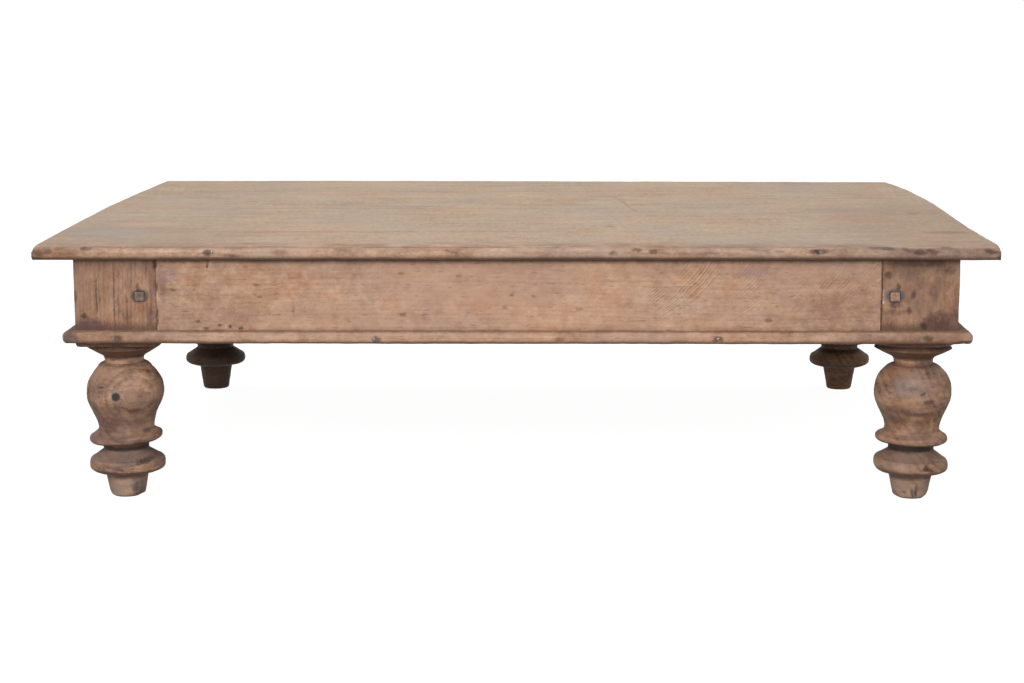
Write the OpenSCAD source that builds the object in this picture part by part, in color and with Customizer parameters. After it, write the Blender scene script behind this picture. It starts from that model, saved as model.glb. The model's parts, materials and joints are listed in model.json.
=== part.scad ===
// Low coffee table in old teak: a plank top on a pegged frame with four turned legs.
// Millimetres. The origin is on the floor under the middle of the table, +X runs along the
// length, -Y faces the front and +Z is up.

/* [Top] */
// Length of the top, end to end
top_l = 1500; // [1200:10:2000]
// Depth of the top, front to back
top_d = 1080; // [980:10:1300]
// Height of the top's upper face above the floor
table_h = 410; // [390:5:480]
// Thickness of the top boards
top_t = 21; // [20:1:34]
// How far the top passes the frame at the two ends
end_overhang = 60; // [40:1:100]
// How far the top passes the frame at the front and back
front_overhang = 20; // [15:1:60]
// Rounding of the top's upper edge at the front and back
edge_top_r = 9; // [4:0.5:11]
// Rounding of the top's upper edge at the two ends
end_top_r = 4; // [2:0.5:11]
// Rounding of the top's lower edge
edge_foot_r = 5; // [2:0.5:8]
// Width of the front board
front_board_w = 200; // [160:5:260]
// Width of the second board from the front
second_board_w = 360; // [200:5:400]
// Width of the third board from the front
third_board_w = 300; // [200:5:340]
// Open seam between two boards
board_seam = 0.4; // [0.2:0.1:1]
// Thickness of the tongue between two boards
tongue_t = 8; // [5:0.5:10]
// How far a tongue reaches into the next board
tongue_l = 8; // [5:1:14]

/* [Frame] */
// Height of the aprons
apron_h = 131; // [122:1:142]
// Thickness of the aprons
apron_t = 28; // [24:1:34]
// Thickness of the tenons on the aprons
tenon_t = 12; // [8:1:16]
// Length of the tenons
tenon_l = 60; // [45:1:80]
// Height of the tenons
tenon_h = 88; // [60:1:96]
// Height of a tenon above the bottom edge of its apron
tenon_lift = 28; // [22:1:30]
// Spare depth at the end of a mortise
mortise_spare = 2; // [1:0.5:4]
// Height of the moulding along the foot of the frame
moulding_h = 19; // [17:1:21]
// How far the moulding stands out from the frame
moulding_d = 20; // [14:1:24]
// Radius of the moulding's upper edge
moulding_top_r = 8; // [3:0.5:9]
// Radius of the moulding's lower edge
moulding_foot_r = 6; // [2:0.5:7]

/* [Legs] */
// Width of the square block at the head of a leg
block_w = 125; // [110:1:140]
// How far the square block shows below the frame
block_drop = 8; // [4:1:12]
// Radius beyond which the lathe has cut the block's lower corners away
shoulder_r = 83; // [76:1:87]
// Radius of the foot on the floor
foot_r = 26; // [22:0.5:31]
// Radius at the top of the foot
foot_top_r = 33; // [32:0.5:35]
// Height of the foot
foot_h = 37; // [28:1:44]
// Bevel round the bottom of the foot
foot_bevel = 2; // [1:0.5:4]
// Radius of the thick disc above the foot
disc_r = 59.5; // [52:0.5:62]
// Height of the thick disc
disc_h = 40; // [34:1:48]
// Radius of the groove between the disc and the ring
groove_r = 36; // [30:0.5:38]
// Height of the groove
groove_h = 6; // [2:0.5:8]
// Radius of the thin ring above the groove
ring_r = 57.5; // [52:0.5:62]
// Height of the thin ring
ring_h = 27.5; // [24:0.5:34]
// Radius of the waist under the ball
waist_r = 43; // [40:0.5:47]
// Radius of the ball
ball_r = 60.5; // [54:0.5:62]
// Height from the waist to the widest part of the ball
ball_rise = 55; // [44:1:66]
// Radius of the neck above the ball
neck_r = 30; // [26:0.5:36]
// Height of the neck
neck_h = 11; // [4:1:14]
// Height of the hollow flare between the neck and the block
flare_h = 24; // [18:1:30]
// Radius at the top of the flare
flare_r = 57; // [50:0.5:60]
// Radius of the hollow where the flare leaves the neck
flare_hollow_r = 8; // [4:0.5:11]

/* [Pegs] */
// Radius of a peg's round shank
peg_r = 6; // [4:0.5:7.5]
// Length of a peg inside the leg
peg_l = 75; // [50:1:90]
// Side of a peg's square head
peg_head_w = 15; // [12:0.5:18]
// How deep a peg's head is let into the leg
peg_head_in = 4; // [2:0.5:6]
// How far a peg's head stands proud
peg_proud = 2.5; // [1:0.5:4]
// Distance from the apron's shoulder to the centre of a peg
peg_inset = 23; // [20:1:30]

/* [Battens and metal] */
// Width of the battens under the top
batten_w = 60; // [45:1:80]
// Thickness of the battens
batten_t = 28; // [22:1:34]
// Distance from a leg's inner face to the middle of an outer batten
batten_inset = 95; // [60:1:140]
// How far a batten's end laps into the apron
lap_l = 20; // [16:1:22]
// Thickness of the lap at the end of a batten
lap_t = 14; // [10:1:18]
// Radius of a screw's shank
screw_r = 2.25; // [1.75:0.25:3]
// Radius of a screw's head
screw_head_r = 4.5; // [4:0.25:6]
// How far a batten screw reaches into a board
screw_bite = 17; // [12:1:18]
// Length of the screw that holds a batten's end down
end_screw_l = 42; // [30:1:60]
// Distance from a board's edge to its screws
screw_inset = 35; // [25:1:45]
// Radius of a nail's shank
nail_r = 1.5; // [1:0.25:2]
// Radius of a nail's head
nail_head_r = 3.2; // [2.5:0.1:3.4]
// Thickness of a nail's head
nail_head_t = 1.2; // [0.8:0.1:2]
// How deep the head of a nail is sunk
nail_sink = 1.5; // [0.8:0.1:2]
// Length of a nail
nail_l = 42; // [36:1:44]
// Depth of the edge nails below the upper face of the top
edge_nail_drop = 8; // [6:0.5:12]

/* [Fits] */
// Clearance on each side of a wooden joint
wood_gap = 0.2; // [0.1:0.05:0.4]
// Clearance round a nail or screw
metal_gap = 0.1; // [0.05:0.05:0.2]

/* [Hidden] */

frame_l = top_l - 2 * end_overhang;
frame_d = top_d - 2 * front_overhang;
leg_x = (frame_l - block_w) / 2;
leg_y = (frame_d - block_w) / 2;
frame_top_z = table_h - top_t;
frame_foot_z = frame_top_z - apron_h;
block_foot_z = frame_foot_z - block_drop;
top_mid_z = table_h - top_t / 2;
// The tenons lie in the middle of the apron's thickness.
tenon_set = (apron_t - tenon_t) / 2;
tenon_foot_z = frame_foot_z + tenon_lift;
peg_z = tenon_foot_z + tenon_h / 2;
nail_z = frame_foot_z + (moulding_h - moulding_top_r + moulding_foot_r) / 2;
edge_nail_z = table_h - edge_nail_drop;
// Boards from front to back: each one's front edge, then the back edge of the last.
back_board_w = top_d - front_board_w - second_board_w - third_board_w;
board_widths = [front_board_w, second_board_w, third_board_w, back_board_w];
board_edges = [
    -top_d / 2,
    -top_d / 2 + front_board_w,
    -top_d / 2 + front_board_w + second_board_w,
    top_d / 2 - back_board_w,
    top_d / 2
];
inner_d = frame_d - 2 * apron_t;
batten_xs = [-1, 0, 1] * (leg_x - block_w / 2 - batten_inset);
// Nails along a long and a short moulding, as shares of the way from the middle to the leg.
long_nail_xs = [-1, -0.35, 0.5, 1] * leg_x;
short_nail_xs = [-1, 0.1, 1] * leg_y;
arc_steps = 10;
// Cuts run this far past a face, so that no skin is left.
over = 1;
// Facets round the turned legs, the pegs and the nails and screws.
turned_fn = 96;
peg_fn = 48;
metal_fn = 24;

teak = "#b08d74";
teak_dark = "#8d6e59";
teak_grey = "#b6a28c";
iron = "#6d6a68";

// A quarter of an ellipse in [radius, height], from one point to another. It leaves the first
// point square to the axis and reaches the second one along the axis.
function quarter(from, to, steps = arc_steps) = [
    for (i = [0:steps])
        let (a = 90 * i / steps)
        [from[0] + (to[0] - from[0]) * sin(a), to[1] + (from[1] - to[1]) * cos(a)]
];

// The same quarter run the other way round: along the axis first, then square to it.
function quarter_back(from, to, steps = arc_steps) = [
    for (i = [0:steps])
        let (a = 90 * i / steps)
        [to[0] + (from[0] - to[0]) * cos(a), from[1] + (to[1] - from[1]) * sin(a)]
];

// A soft S between two points that starts and ends along the axis.
function swell(from, to, steps = arc_steps) = [
    for (i = [0:steps])
        let (t = i / steps)
        [from[0] + (to[0] - from[0]) * (1 - cos(180 * t)) / 2, from[1] + (to[1] - from[1]) * t]
];

// Corner of a flat outline rounded to a radius, as points from one angle to another.
function corner(centre, r, from, to, steps = arc_steps) = [
    for (i = [0:steps])
        let (a = from + (to - from) * i / steps)
        centre + r * [cos(a), sin(a)]
];

// Heights of the turning: the lower ones are worked up from the floor, the upper ones down
// from the block.
disc_top_z = foot_h + disc_h;
ring_foot_z = disc_top_z + groove_h;
ring_top_z = ring_foot_z + ring_h;
ball_z = ring_top_z + ball_rise;
neck_top_z = block_foot_z - flare_h;
neck_foot_z = neck_top_z - neck_h;

// A point on the disc: its reach is a share of the way from one radius to the disc's rim, and
// its height a share of the disc's own height.
function on_disc(r, reach, rise) = [r + reach * (disc_r - r), foot_h + rise * disc_h];

// The thick disc: a dished underside, a rounded edge and a long slope up to the groove.
function disc_points() =
    concat(
        quarter(on_disc(foot_top_r, 0.5, 0.12), on_disc(foot_top_r, 1, 0.38)),
        quarter_back(on_disc(groove_r, 1, 0.46), on_disc(groove_r, 0.8, 0.68)),
        [on_disc(groove_r, 0.1, 0.95), [groove_r, disc_top_z]]
    );

// A point on the ring, in the same kind of shares.
function on_ring(r, reach, rise) = [r + reach * (ring_r - r), ring_foot_z + rise * ring_h];

// The thin ring: a saucer with a rounded rim and a hollow shoulder that runs into the waist.
function ring_points() =
    concat(
        [[groove_r, ring_foot_z]],
        quarter(on_ring(groove_r, 0.6, 0.15), on_ring(groove_r, 1, 0.4)),
        quarter_back(on_ring(waist_r, 1, 0.47), on_ring(waist_r, 0.75, 0.66)),
        [on_ring(waist_r, 0.15, 0.87)]
    );

// The ball swells from the waist in a soft S, is straight for a hair's breadth where it is
// widest, and closes in a round shoulder under the neck.
function ball_points() =
    let (straight = 1)
    concat(
        swell([waist_r, ring_top_z], [ball_r, ball_z]),
        quarter_back([ball_r, ball_z + straight], [neck_r, neck_foot_z])
    );

// The neck opens through a small hollow into a straight flare, with a low band on top that
// widens a little into the block.
function neck_points() =
    let (turned = 60, band_h = 4, band_spread = 1)
    concat(
        corner([neck_r + flare_hollow_r, neck_top_z], flare_hollow_r, 180, 180 - turned),
        [[flare_r, block_foot_z - band_h], [flare_r + band_spread, block_foot_z + over]]
    );

module turning_outline() {
    polygon(concat(
        [[0, 0], [foot_r - foot_bevel, 0], [foot_r, foot_bevel], [foot_top_r, foot_h]],
        disc_points(),
        ring_points(),
        ball_points(),
        neck_points(),
        [[0, block_foot_z + over]]
    ));
}

// The block's lower arrises are eased, and the lathe has cut its corners off at 45 degrees.
module shoulder_outline() {
    half = block_w / 2;
    ease = 1.5;
    corner_r = half * sqrt(2) + over;
    polygon([
        [0, block_foot_z],
        [half - ease, block_foot_z],
        [half, block_foot_z + ease / 2],
        [shoulder_r, block_foot_z + ease / 2],
        [corner_r, block_foot_z + ease / 2 + corner_r - shoulder_r],
        [corner_r, frame_top_z],
        [0, frame_top_z]
    ]);
}

// The cuts for the apron that comes in from +x. The outer face is at -y.
module mortise() {
    half = block_w / 2;
    depth = tenon_l + mortise_spare;
    translate([half - depth, -half + tenon_set - wood_gap, tenon_foot_z - wood_gap])
        cube([depth + over, tenon_t + 2 * wood_gap, tenon_h + 2 * wood_gap]);
    translate([half - peg_inset, -half, peg_z]) peg_hole();
    translate([0, -half, nail_z]) shank_hole(nail_r, nail_l - moulding_d + nail_sink + over);
}

// A hole that a peg fills, from a face at y = 0 towards +y.
module peg_hole() {
    side = peg_head_w + 2 * wood_gap;
    translate([-side / 2, -over, -side / 2]) cube([side, peg_head_in + over, side]);
    rotate([-90, 0, 0]) cylinder(r = peg_r + wood_gap, h = peg_l + over, $fn = peg_fn);
}

module shank_hole(r, depth) {
    translate([0, -over, 0])
        rotate([-90, 0, 0]) cylinder(r = r + metal_gap, h = depth + over, $fn = metal_fn);
}

// One leg round its own axis, with its outer faces at -x and -y.
module leg_shape() {
    half = block_w / 2;
    difference() {
        union() {
            rotate_extrude($fn = turned_fn) turning_outline();
            intersection() {
                translate([-half, -half, block_foot_z])
                    cube([block_w, block_w, frame_top_z - block_foot_z]);
                rotate_extrude($fn = turned_fn) shoulder_outline();
            }
        }
        mortise();
        mirror([1, -1, 0]) mortise();
    }
}

module leg(x_side, y_side) {
    turn = x_side < 0 ? (y_side < 0 ? 0 : 270) : (y_side < 0 ? 90 : 180);
    color(teak_dark)
        translate([x_side * leg_x, y_side * leg_y, 0]) rotate([0, 0, turn]) leg_shape();
}

// Carries a piece drawn for the front to one of the four sides: 0 front, 1 right, 2 back, 3 left.
module on_side(side) {
    reach = side % 2 == 0 ? frame_d / 2 : frame_l / 2;
    rotate([0, 0, 90 * side]) translate([0, -reach, 0]) children();
}

function side_leg_x(side) = side % 2 == 0 ? leg_x : leg_y;
function side_half(side) = side % 2 == 0 ? frame_l / 2 : frame_d / 2;
function side_nails(side) = side % 2 == 0 ? long_nail_xs : short_nail_xs;

// An apron with its outer face at y = 0, a tenon at each end and, on a long one, the notches
// for the battens.
module apron_shape(side) {
    half = side_leg_x(side) - block_w / 2;
    difference() {
        union() {
            translate([-half, 0, frame_foot_z]) cube([2 * half, apron_t, apron_h]);
            translate([-half - tenon_l, tenon_set, tenon_foot_z])
                cube([2 * (half + tenon_l), tenon_t, tenon_h]);
        }
        for (end = [-1, 1])
            translate([end * (half + peg_inset), 0, peg_z])
                rotate([-90, 0, 0]) cylinder(r = peg_r + wood_gap, h = apron_t, $fn = peg_fn);
        for (x = side_nails(side))
            if (abs(x) < half)
                translate([x, 0, nail_z])
                    shank_hole(nail_r, nail_l - moulding_d + nail_sink + over);
        if (side % 2 == 0)
            for (x = batten_xs) translate([x, apron_t, frame_top_z]) batten_notch();
    }
}

// The notch in an apron's top edge, seen from its inner face at y = 0, and the screw hole in it.
module batten_notch() {
    width = batten_w + 2 * wood_gap;
    translate([-width / 2, -lap_l - wood_gap, -lap_t])
        cube([width, lap_l + wood_gap + over, lap_t + over]);
    translate([0, -lap_l / 2, -end_screw_l - over])
        cylinder(r = screw_r + metal_gap, h = end_screw_l + over, $fn = metal_fn);
}

module apron(side) {
    color(teak) on_side(side) apron_shape(side);
}

// The moulding's section: x is how far it stands out, y is its height.
module moulding_section() {
    polygon(concat(
        [[0, 0]],
        corner([moulding_d - moulding_foot_r, moulding_foot_r], moulding_foot_r, -90, 0),
        corner([moulding_d - moulding_top_r, moulding_h - moulding_top_r], moulding_top_r, 0, 90),
        [[0, moulding_h]]
    ));
}

// A strip of moulding with mitred ends, nailed against the frame at y = 0.
module moulding_shape(side) {
    half = side_half(side);
    long = half + moulding_d;
    difference() {
        intersection() {
            translate([-long, 0, frame_foot_z]) rotate([90, 0, 90])
                linear_extrude(2 * long) mirror([1, 0]) moulding_section();
            translate([0, 0, frame_foot_z - over]) linear_extrude(moulding_h + 2 * over)
                polygon([[-half, 0], [half, 0], [long, -moulding_d], [-long, -moulding_d]]);
        }
        for (x = side_nails(side)) translate([x, -moulding_d, nail_z]) nail_hole();
    }
}

module moulding(side) {
    color(teak) on_side(side) moulding_shape(side);
}

// A nail that points to +y from a surface at y = 0, with its head sunk in it.
module nail() {
    translate([0, nail_sink - nail_head_t, 0]) rotate([-90, 0, 0]) {
        cylinder(r = nail_head_r, h = nail_head_t, $fn = metal_fn);
        cylinder(r = nail_r, h = nail_l, $fn = metal_fn);
    }
}

module nail_hole() {
    translate([0, -over, 0]) rotate([-90, 0, 0])
        cylinder(r = nail_head_r + metal_gap, h = nail_sink + over, $fn = metal_fn);
    shank_hole(nail_r, nail_l + over);
}

module moulding_nails(side) {
    color(iron) on_side(side)
        for (x = side_nails(side)) translate([x, -moulding_d, nail_z]) nail();
}

module edge_nails() {
    color(iron)
        for (x = [batten_xs[0], batten_xs[2]]) translate([x, -top_d / 2, edge_nail_z]) nail();
}

// Points up one edge of the top, in [distance from the tip, height]: worn round to a radius at
// its upper corner, or square where the radius is 0 and two boards meet.
function edge_points(top_r) = top_r > 0
    ? concat(
        corner([-edge_foot_r, edge_foot_r - top_t / 2], edge_foot_r, -90, 0),
        corner([-top_r, top_t / 2 - top_r], top_r, 0, 90)
    )
    : [[0, -top_t / 2], [0, top_t / 2]];

// A section through the top from one edge to another, with the radius of each upper corner.
module strip_section(low, high, low_r, high_r) {
    high_edge = edge_points(high_r);
    low_edge = edge_points(low_r);
    polygon(concat(
        [for (p = high_edge) [high + p[0], p[1]]],
        [for (k = [len(low_edge) - 1:-1:0]) [low - low_edge[k][0], low_edge[k][1]]]
    ));
}

// The section of one board across its width, with a groove in front and a tongue behind where
// it meets its neighbours.
module board_section(i) {
    last = len(board_widths) - 1;
    front = board_edges[i] + (i > 0 ? board_seam / 2 : 0);
    back = board_edges[i + 1] - (i < last ? board_seam / 2 : 0);
    difference() {
        union() {
            strip_section(front, back, i == 0 ? edge_top_r : 0, i == last ? edge_top_r : 0);
            if (i < last)
                translate([back - over, -tongue_t / 2])
                    square([board_seam + tongue_l + over, tongue_t]);
        }
        if (i > 0)
            translate([front - over, -tongue_t / 2 - wood_gap])
                square([tongue_l + 2 * wood_gap + over, tongue_t + 2 * wood_gap]);
    }
}

// Screws stand on the stretch of a board that lies over the full thickness of a batten: two,
// or one in the middle where the stretch is narrow.
function screw_ys(i) =
    let (
        low = max(board_edges[i], -inner_d / 2),
        high = min(board_edges[i + 1], inner_d / 2),
        narrow = high - low < 2 * screw_inset + 4 * screw_head_r
    )
    narrow ? [(low + high) / 2] : [low + screw_inset, high - screw_inset];

module top_board(i) {
    color(teak_grey)
        difference() {
            translate([0, 0, top_mid_z]) intersection() {
                translate([-top_l / 2, 0, 0]) rotate([90, 0, 90])
                    linear_extrude(top_l) board_section(i);
                translate([0, top_d / 2, 0]) rotate([90, 0, 0])
                    linear_extrude(top_d)
                        strip_section(-top_l / 2, top_l / 2, end_top_r, end_top_r);
            }
            for (x = batten_xs, y = screw_ys(i))
                translate([x, y, frame_top_z - over])
                    cylinder(r = screw_r + metal_gap, h = screw_bite + 2 * over, $fn = metal_fn);
            if (i == 0)
                for (x = [batten_xs[0], batten_xs[2]])
                    translate([x, -top_d / 2, edge_nail_z]) nail_hole();
        }
}

// A wood screw with a countersunk head, its head at z = 0 and its point upwards.
module screw(length) {
    head_h = screw_head_r - screw_r;
    cylinder(r1 = screw_head_r, r2 = screw_r, h = head_h, $fn = metal_fn);
    cylinder(r = screw_r, h = length, $fn = metal_fn);
}

// The countersunk hole that a screw sits in.
module screw_hole(length) {
    head_h = screw_head_r - screw_r;
    translate([0, 0, -over]) cylinder(r = screw_head_r + metal_gap, h = over, $fn = metal_fn);
    cylinder(r1 = screw_head_r + metal_gap, r2 = screw_r + metal_gap, h = head_h, $fn = metal_fn);
    cylinder(r = screw_r + metal_gap, h = length + over, $fn = metal_fn);
}

module batten(k) {
    long = inner_d / 2 + lap_l;
    color(teak_dark) translate([batten_xs[k], 0, frame_top_z]) difference() {
        union() {
            translate([-batten_w / 2, -inner_d / 2, -batten_t]) cube([batten_w, inner_d, batten_t]);
            translate([-batten_w / 2, -long, -lap_t]) cube([batten_w, 2 * long, lap_t]);
        }
        for (i = [0:len(board_widths) - 1], y = screw_ys(i))
            translate([0, y, -batten_t]) screw_hole(batten_t);
        for (end = [-1, 1])
            translate([0, end * (inner_d + lap_l) / 2, 0]) mirror([0, 0, 1]) screw_hole(lap_t);
    }
}

module batten_screws() {
    color(iron)
        for (x = batten_xs, i = [0:len(board_widths) - 1], y = screw_ys(i))
            translate([x, y, frame_top_z - batten_t]) screw(batten_t + screw_bite);
}

module batten_end_screws() {
    color(iron)
        for (x = batten_xs, end = [-1, 1])
            translate([x, end * (inner_d + lap_l) / 2, frame_top_z])
                mirror([0, 0, 1]) screw(end_screw_l);
}

// A whittled peg: a square head that stands a little proud and a round shank. The side is as
// in on_side, and end is -1 for the left joint of that side, seen from outside, 1 for the right.
module peg(side, end) {
    color(teak_dark) on_side(side)
        translate([end * (side_leg_x(side) - block_w / 2 + peg_inset), 0, peg_z]) {
            translate([-peg_head_w / 2, -peg_proud, -peg_head_w / 2])
                cube([peg_head_w, peg_proud + peg_head_in, peg_head_w]);
            rotate([-90, 0, 0]) cylinder(r = peg_r, h = peg_l, $fn = peg_fn);
        }
}

leg(-1, -1);  // leg_front_left
leg(1, -1);  // leg_front_right
leg(1, 1);  // leg_back_right
leg(-1, 1);  // leg_back_left
apron(0);  // apron_front
apron(1);  // apron_right
apron(2);  // apron_back
apron(3);  // apron_left
moulding(0);  // moulding_front
moulding(1);  // moulding_right
moulding(2);  // moulding_back
moulding(3);  // moulding_left
top_board(0);  // top_board_front
top_board(1);  // top_board_second
top_board(2);  // top_board_third
top_board(3);  // top_board_back
batten(0);  // batten_left
batten(1);  // batten_middle
batten(2);  // batten_right
peg(0, -1);  // peg_front_left
peg(0, 1);  // peg_front_right
peg(1, -1);  // peg_right_front
peg(1, 1);  // peg_right_back
peg(2, -1);  // peg_back_right
peg(2, 1);  // peg_back_left
peg(3, -1);  // peg_left_back
peg(3, 1);  // peg_left_front
moulding_nails(0);  // moulding_nails_front
moulding_nails(1);  // moulding_nails_right
moulding_nails(2);  // moulding_nails_back
moulding_nails(3);  // moulding_nails_left
edge_nails();
batten_screws();
batten_end_screws();
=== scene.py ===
# %% [markdown]
# # Dressing an old teak table
# The solid model holds the table's pieces at their real size: a top of four boards, a pegged
# frame, a nailed moulding and four turned legs. Its faces are perfect, and an old table's are
# not. This lesson models each piece again as a worn one, in the same place, and then mixes a
# finish for it.
#
# The first step loads the solid model. Everything after it is measured from it, in metres, with
# the origin on the floor under the middle of the table, X along its length and Z up.

import json
import math

import bmesh
import bpy
import numpy as np
from mathutils import Matrix, Vector

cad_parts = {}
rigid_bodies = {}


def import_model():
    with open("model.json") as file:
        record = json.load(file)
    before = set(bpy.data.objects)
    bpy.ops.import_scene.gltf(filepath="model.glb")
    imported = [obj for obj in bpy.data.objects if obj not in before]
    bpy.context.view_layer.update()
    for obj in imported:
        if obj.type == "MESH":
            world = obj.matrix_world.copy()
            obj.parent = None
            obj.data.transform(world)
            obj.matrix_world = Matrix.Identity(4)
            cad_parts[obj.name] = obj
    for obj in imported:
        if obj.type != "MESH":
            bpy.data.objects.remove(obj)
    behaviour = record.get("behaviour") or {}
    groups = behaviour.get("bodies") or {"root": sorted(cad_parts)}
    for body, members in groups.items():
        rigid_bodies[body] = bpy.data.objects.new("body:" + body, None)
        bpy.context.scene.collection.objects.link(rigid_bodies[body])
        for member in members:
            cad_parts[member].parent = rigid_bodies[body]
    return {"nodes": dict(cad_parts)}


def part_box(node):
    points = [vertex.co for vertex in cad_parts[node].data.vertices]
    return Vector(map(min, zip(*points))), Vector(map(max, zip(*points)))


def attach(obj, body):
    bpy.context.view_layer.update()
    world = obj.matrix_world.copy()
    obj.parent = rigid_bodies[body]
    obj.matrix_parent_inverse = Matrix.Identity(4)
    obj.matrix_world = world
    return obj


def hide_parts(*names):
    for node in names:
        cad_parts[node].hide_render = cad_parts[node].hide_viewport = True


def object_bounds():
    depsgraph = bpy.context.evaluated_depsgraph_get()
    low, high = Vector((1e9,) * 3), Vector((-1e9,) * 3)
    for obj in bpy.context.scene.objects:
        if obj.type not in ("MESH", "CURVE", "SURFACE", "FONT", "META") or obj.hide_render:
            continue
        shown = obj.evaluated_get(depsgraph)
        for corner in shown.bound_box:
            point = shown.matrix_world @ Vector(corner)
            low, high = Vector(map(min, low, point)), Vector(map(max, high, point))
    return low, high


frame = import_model()
cad_low, cad_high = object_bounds()
MM = 0.001


def mm(*lengths):
    """Lengths in millimetres, as metres."""
    return [length * MM for length in lengths]


print("solid model:", len(frame["nodes"]), "nodes,", [round(v, 3) for v in cad_high - cad_low])

# %% [markdown]
# ## Camera
# The table was photographed from the front with a long lens, a little above the top. The
# camera's place and turn were fitted to the ends of the top, the blocks and the discs of the
# legs. A focal length in pixels becomes one in millimetres through the width of the film.

# %% Set up the camera
PHOTO_WIDTH = 1024
FOCAL_PIXELS = 2200
FILM_WIDTH = 36.0
CAMERA_PLACE = Vector((0.0742, -3.9023, 0.8357))
CAMERA_YAW = 0.02366
CAMERA_PITCH = 0.16865
CAMERA_ROLL = -0.00299

lens = bpy.data.cameras.new("camera")
lens.sensor_width = FILM_WIDTH
lens.lens = FOCAL_PIXELS / PHOTO_WIDTH * FILM_WIDTH
camera = bpy.data.objects.new("camera", lens)
bpy.context.scene.collection.objects.link(camera)
camera.matrix_world = (
    Matrix.Translation(CAMERA_PLACE)
    @ Matrix.Rotation(CAMERA_YAW, 4, "Z")
    @ Matrix.Rotation(math.pi / 2 - CAMERA_PITCH, 4, "X")
    @ Matrix.Rotation(CAMERA_ROLL, 4, "Z")
)
bpy.context.scene.camera = camera
bpy.context.scene.view_settings.view_transform = "Standard"
print("camera lens:", round(lens.lens, 1), "mm")

# %% [markdown]
# ## Helpers for the bench
# An operator acts on everything that is selected, so each piece starts with nothing selected.
# Faces and edges are then picked by their place, as they would be by eye in a viewport.

# %% Helpers that start and finish a piece
NEAR = 1e-5
MOST_SLICES = 60


def clear_bench():
    """Leaves edit mode and deselects every object."""
    if bpy.context.mode != "OBJECT":
        bpy.ops.object.mode_set(mode="OBJECT")
    bpy.ops.object.select_all(action="DESELECT")


def take(piece):
    """Makes one object the only selected and the active one."""
    clear_bench()
    piece.select_set(True)
    bpy.context.view_layer.objects.active = piece


def edit(piece):
    """Takes a piece into edit mode."""
    take(piece)
    bpy.ops.object.mode_set(mode="EDIT")


def set_down(piece):
    """Leaves edit mode with the object at the origin, unturned and unscaled."""
    take(piece)
    bpy.ops.object.transform_apply(location=True, rotation=True, scale=True)


def pick(piece, kind, test):
    """Selects, in edit mode, the edges or faces that pass a test."""
    bpy.ops.mesh.select_mode(type=kind)
    bpy.ops.mesh.select_all(action="DESELECT")
    mesh = bmesh.from_edit_mesh(piece.data)
    for part in mesh.edges if kind == "EDGE" else mesh.faces:
        if test(part):
            part.select_set(True)
    mesh.select_flush_mode()
    bmesh.update_edit_mesh(piece.data)


def middle_of(part):
    """The middle of an edge or a face."""
    return sum((vert.co for vert in part.verts), Vector()) / len(part.verts)


def block(name, low, high):
    """A cube added at its size and place, between two corners."""
    clear_bench()
    low, high = Vector(low), Vector(high)
    bpy.ops.mesh.primitive_cube_add(size=1, location=(low + high) / 2, scale=high - low)
    piece = bpy.context.object
    piece.name = name
    set_down(piece)
    return piece


def cut_up(piece, axis, step):
    """Cuts a piece across one axis into slices of about a step, by its long straight edges.

    One pass only cuts an edge so many times, so many slices are made in two passes.
    """
    low, high = piece_box(piece)
    long = high[axis] - low[axis]
    slices = max(1, round(long / step))
    passes = [slices] if slices <= MOST_SLICES else [math.ceil(math.sqrt(slices))] * 2
    edit(piece)
    for count in passes:

        def runs_along(edge):
            reach = edge.verts[0].co - edge.verts[1].co
            return reach.length > 0.6 * long and abs(reach[axis]) > 0.99 * reach.length

        pick(piece, "EDGE", runs_along)
        bpy.ops.mesh.subdivide(number_cuts=count - 1)
        long /= count
    clear_bench()


def bevel(piece, offset, segments, test):
    """Rounds the edges of a piece that pass a test."""
    edit(piece)
    pick(piece, "EDGE", test)
    bpy.ops.mesh.bevel(offset=offset, segments=segments, affect="EDGES")
    clear_bench()


def places_of(piece):
    """The places of a mesh's vertices, as an array with a row for each."""
    places = np.empty(len(piece.data.vertices) * 3, np.float32)
    piece.data.vertices.foreach_get("co", places)
    return places.reshape(-1, 3).astype(float)


def put_places(piece, places):
    """Moves a mesh's vertices to the rows of an array."""
    piece.data.vertices.foreach_set("co", places.astype(np.float32).ravel())
    piece.data.update()


def piece_box(piece):
    """The lowest and the highest corner of a mesh."""
    places = places_of(piece)
    return Vector(places.min(0)), Vector(places.max(0))


# %% [markdown]
# Old wood is never flat. A Displace modifier with a cloud texture gives a surface its slow
# unevenness. Single dents are pushed in as with a sculpting brush, and sharp corners are worn
# round. Nothing may grow past the solid model, so each piece is held inside the box of the
# nodes that it stands for.

# %% Helpers that wear a surface
def roll_surface(piece, *waves):
    """Makes a surface uneven, in waves given by their size and full depth in millimetres."""
    for size, depth in waves:
        clouds = bpy.data.textures.new(piece.name + "_clouds", "CLOUDS")
        clouds.noise_scale = size * MM
        clouds.noise_depth = 2
        take(piece)
        wear = piece.modifiers.new("wear", "DISPLACE")
        wear.texture = clouds
        wear.texture_coords = "LOCAL"
        wear.strength = depth * MM
        wear.mid_level = 0.5
        bpy.ops.object.modifier_apply(modifier=wear.name)


def dent(piece, centre, reach, depth):
    """Pushes a surface in round a point. Reach is the dent's half size along X, Y and Z."""
    places = places_of(piece)
    facing = np.empty(places.size, np.float32)
    piece.data.vertices.foreach_get("normal", facing)
    away = np.linalg.norm((places - np.array(centre)) / np.array(reach), axis=1)
    near = np.clip(1 - away, 0, 1)
    push = near * near * (3 - 2 * near) * depth
    put_places(piece, places - facing.reshape(-1, 3) * push[:, None])


def knock(piece, knocks):
    """Dents a piece at each knock of a list: centre, reach and depth, in millimetres."""
    for centre, reach, depth in knocks:
        dent(piece, mm(*centre), mm(*reach), depth * MM)


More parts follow.
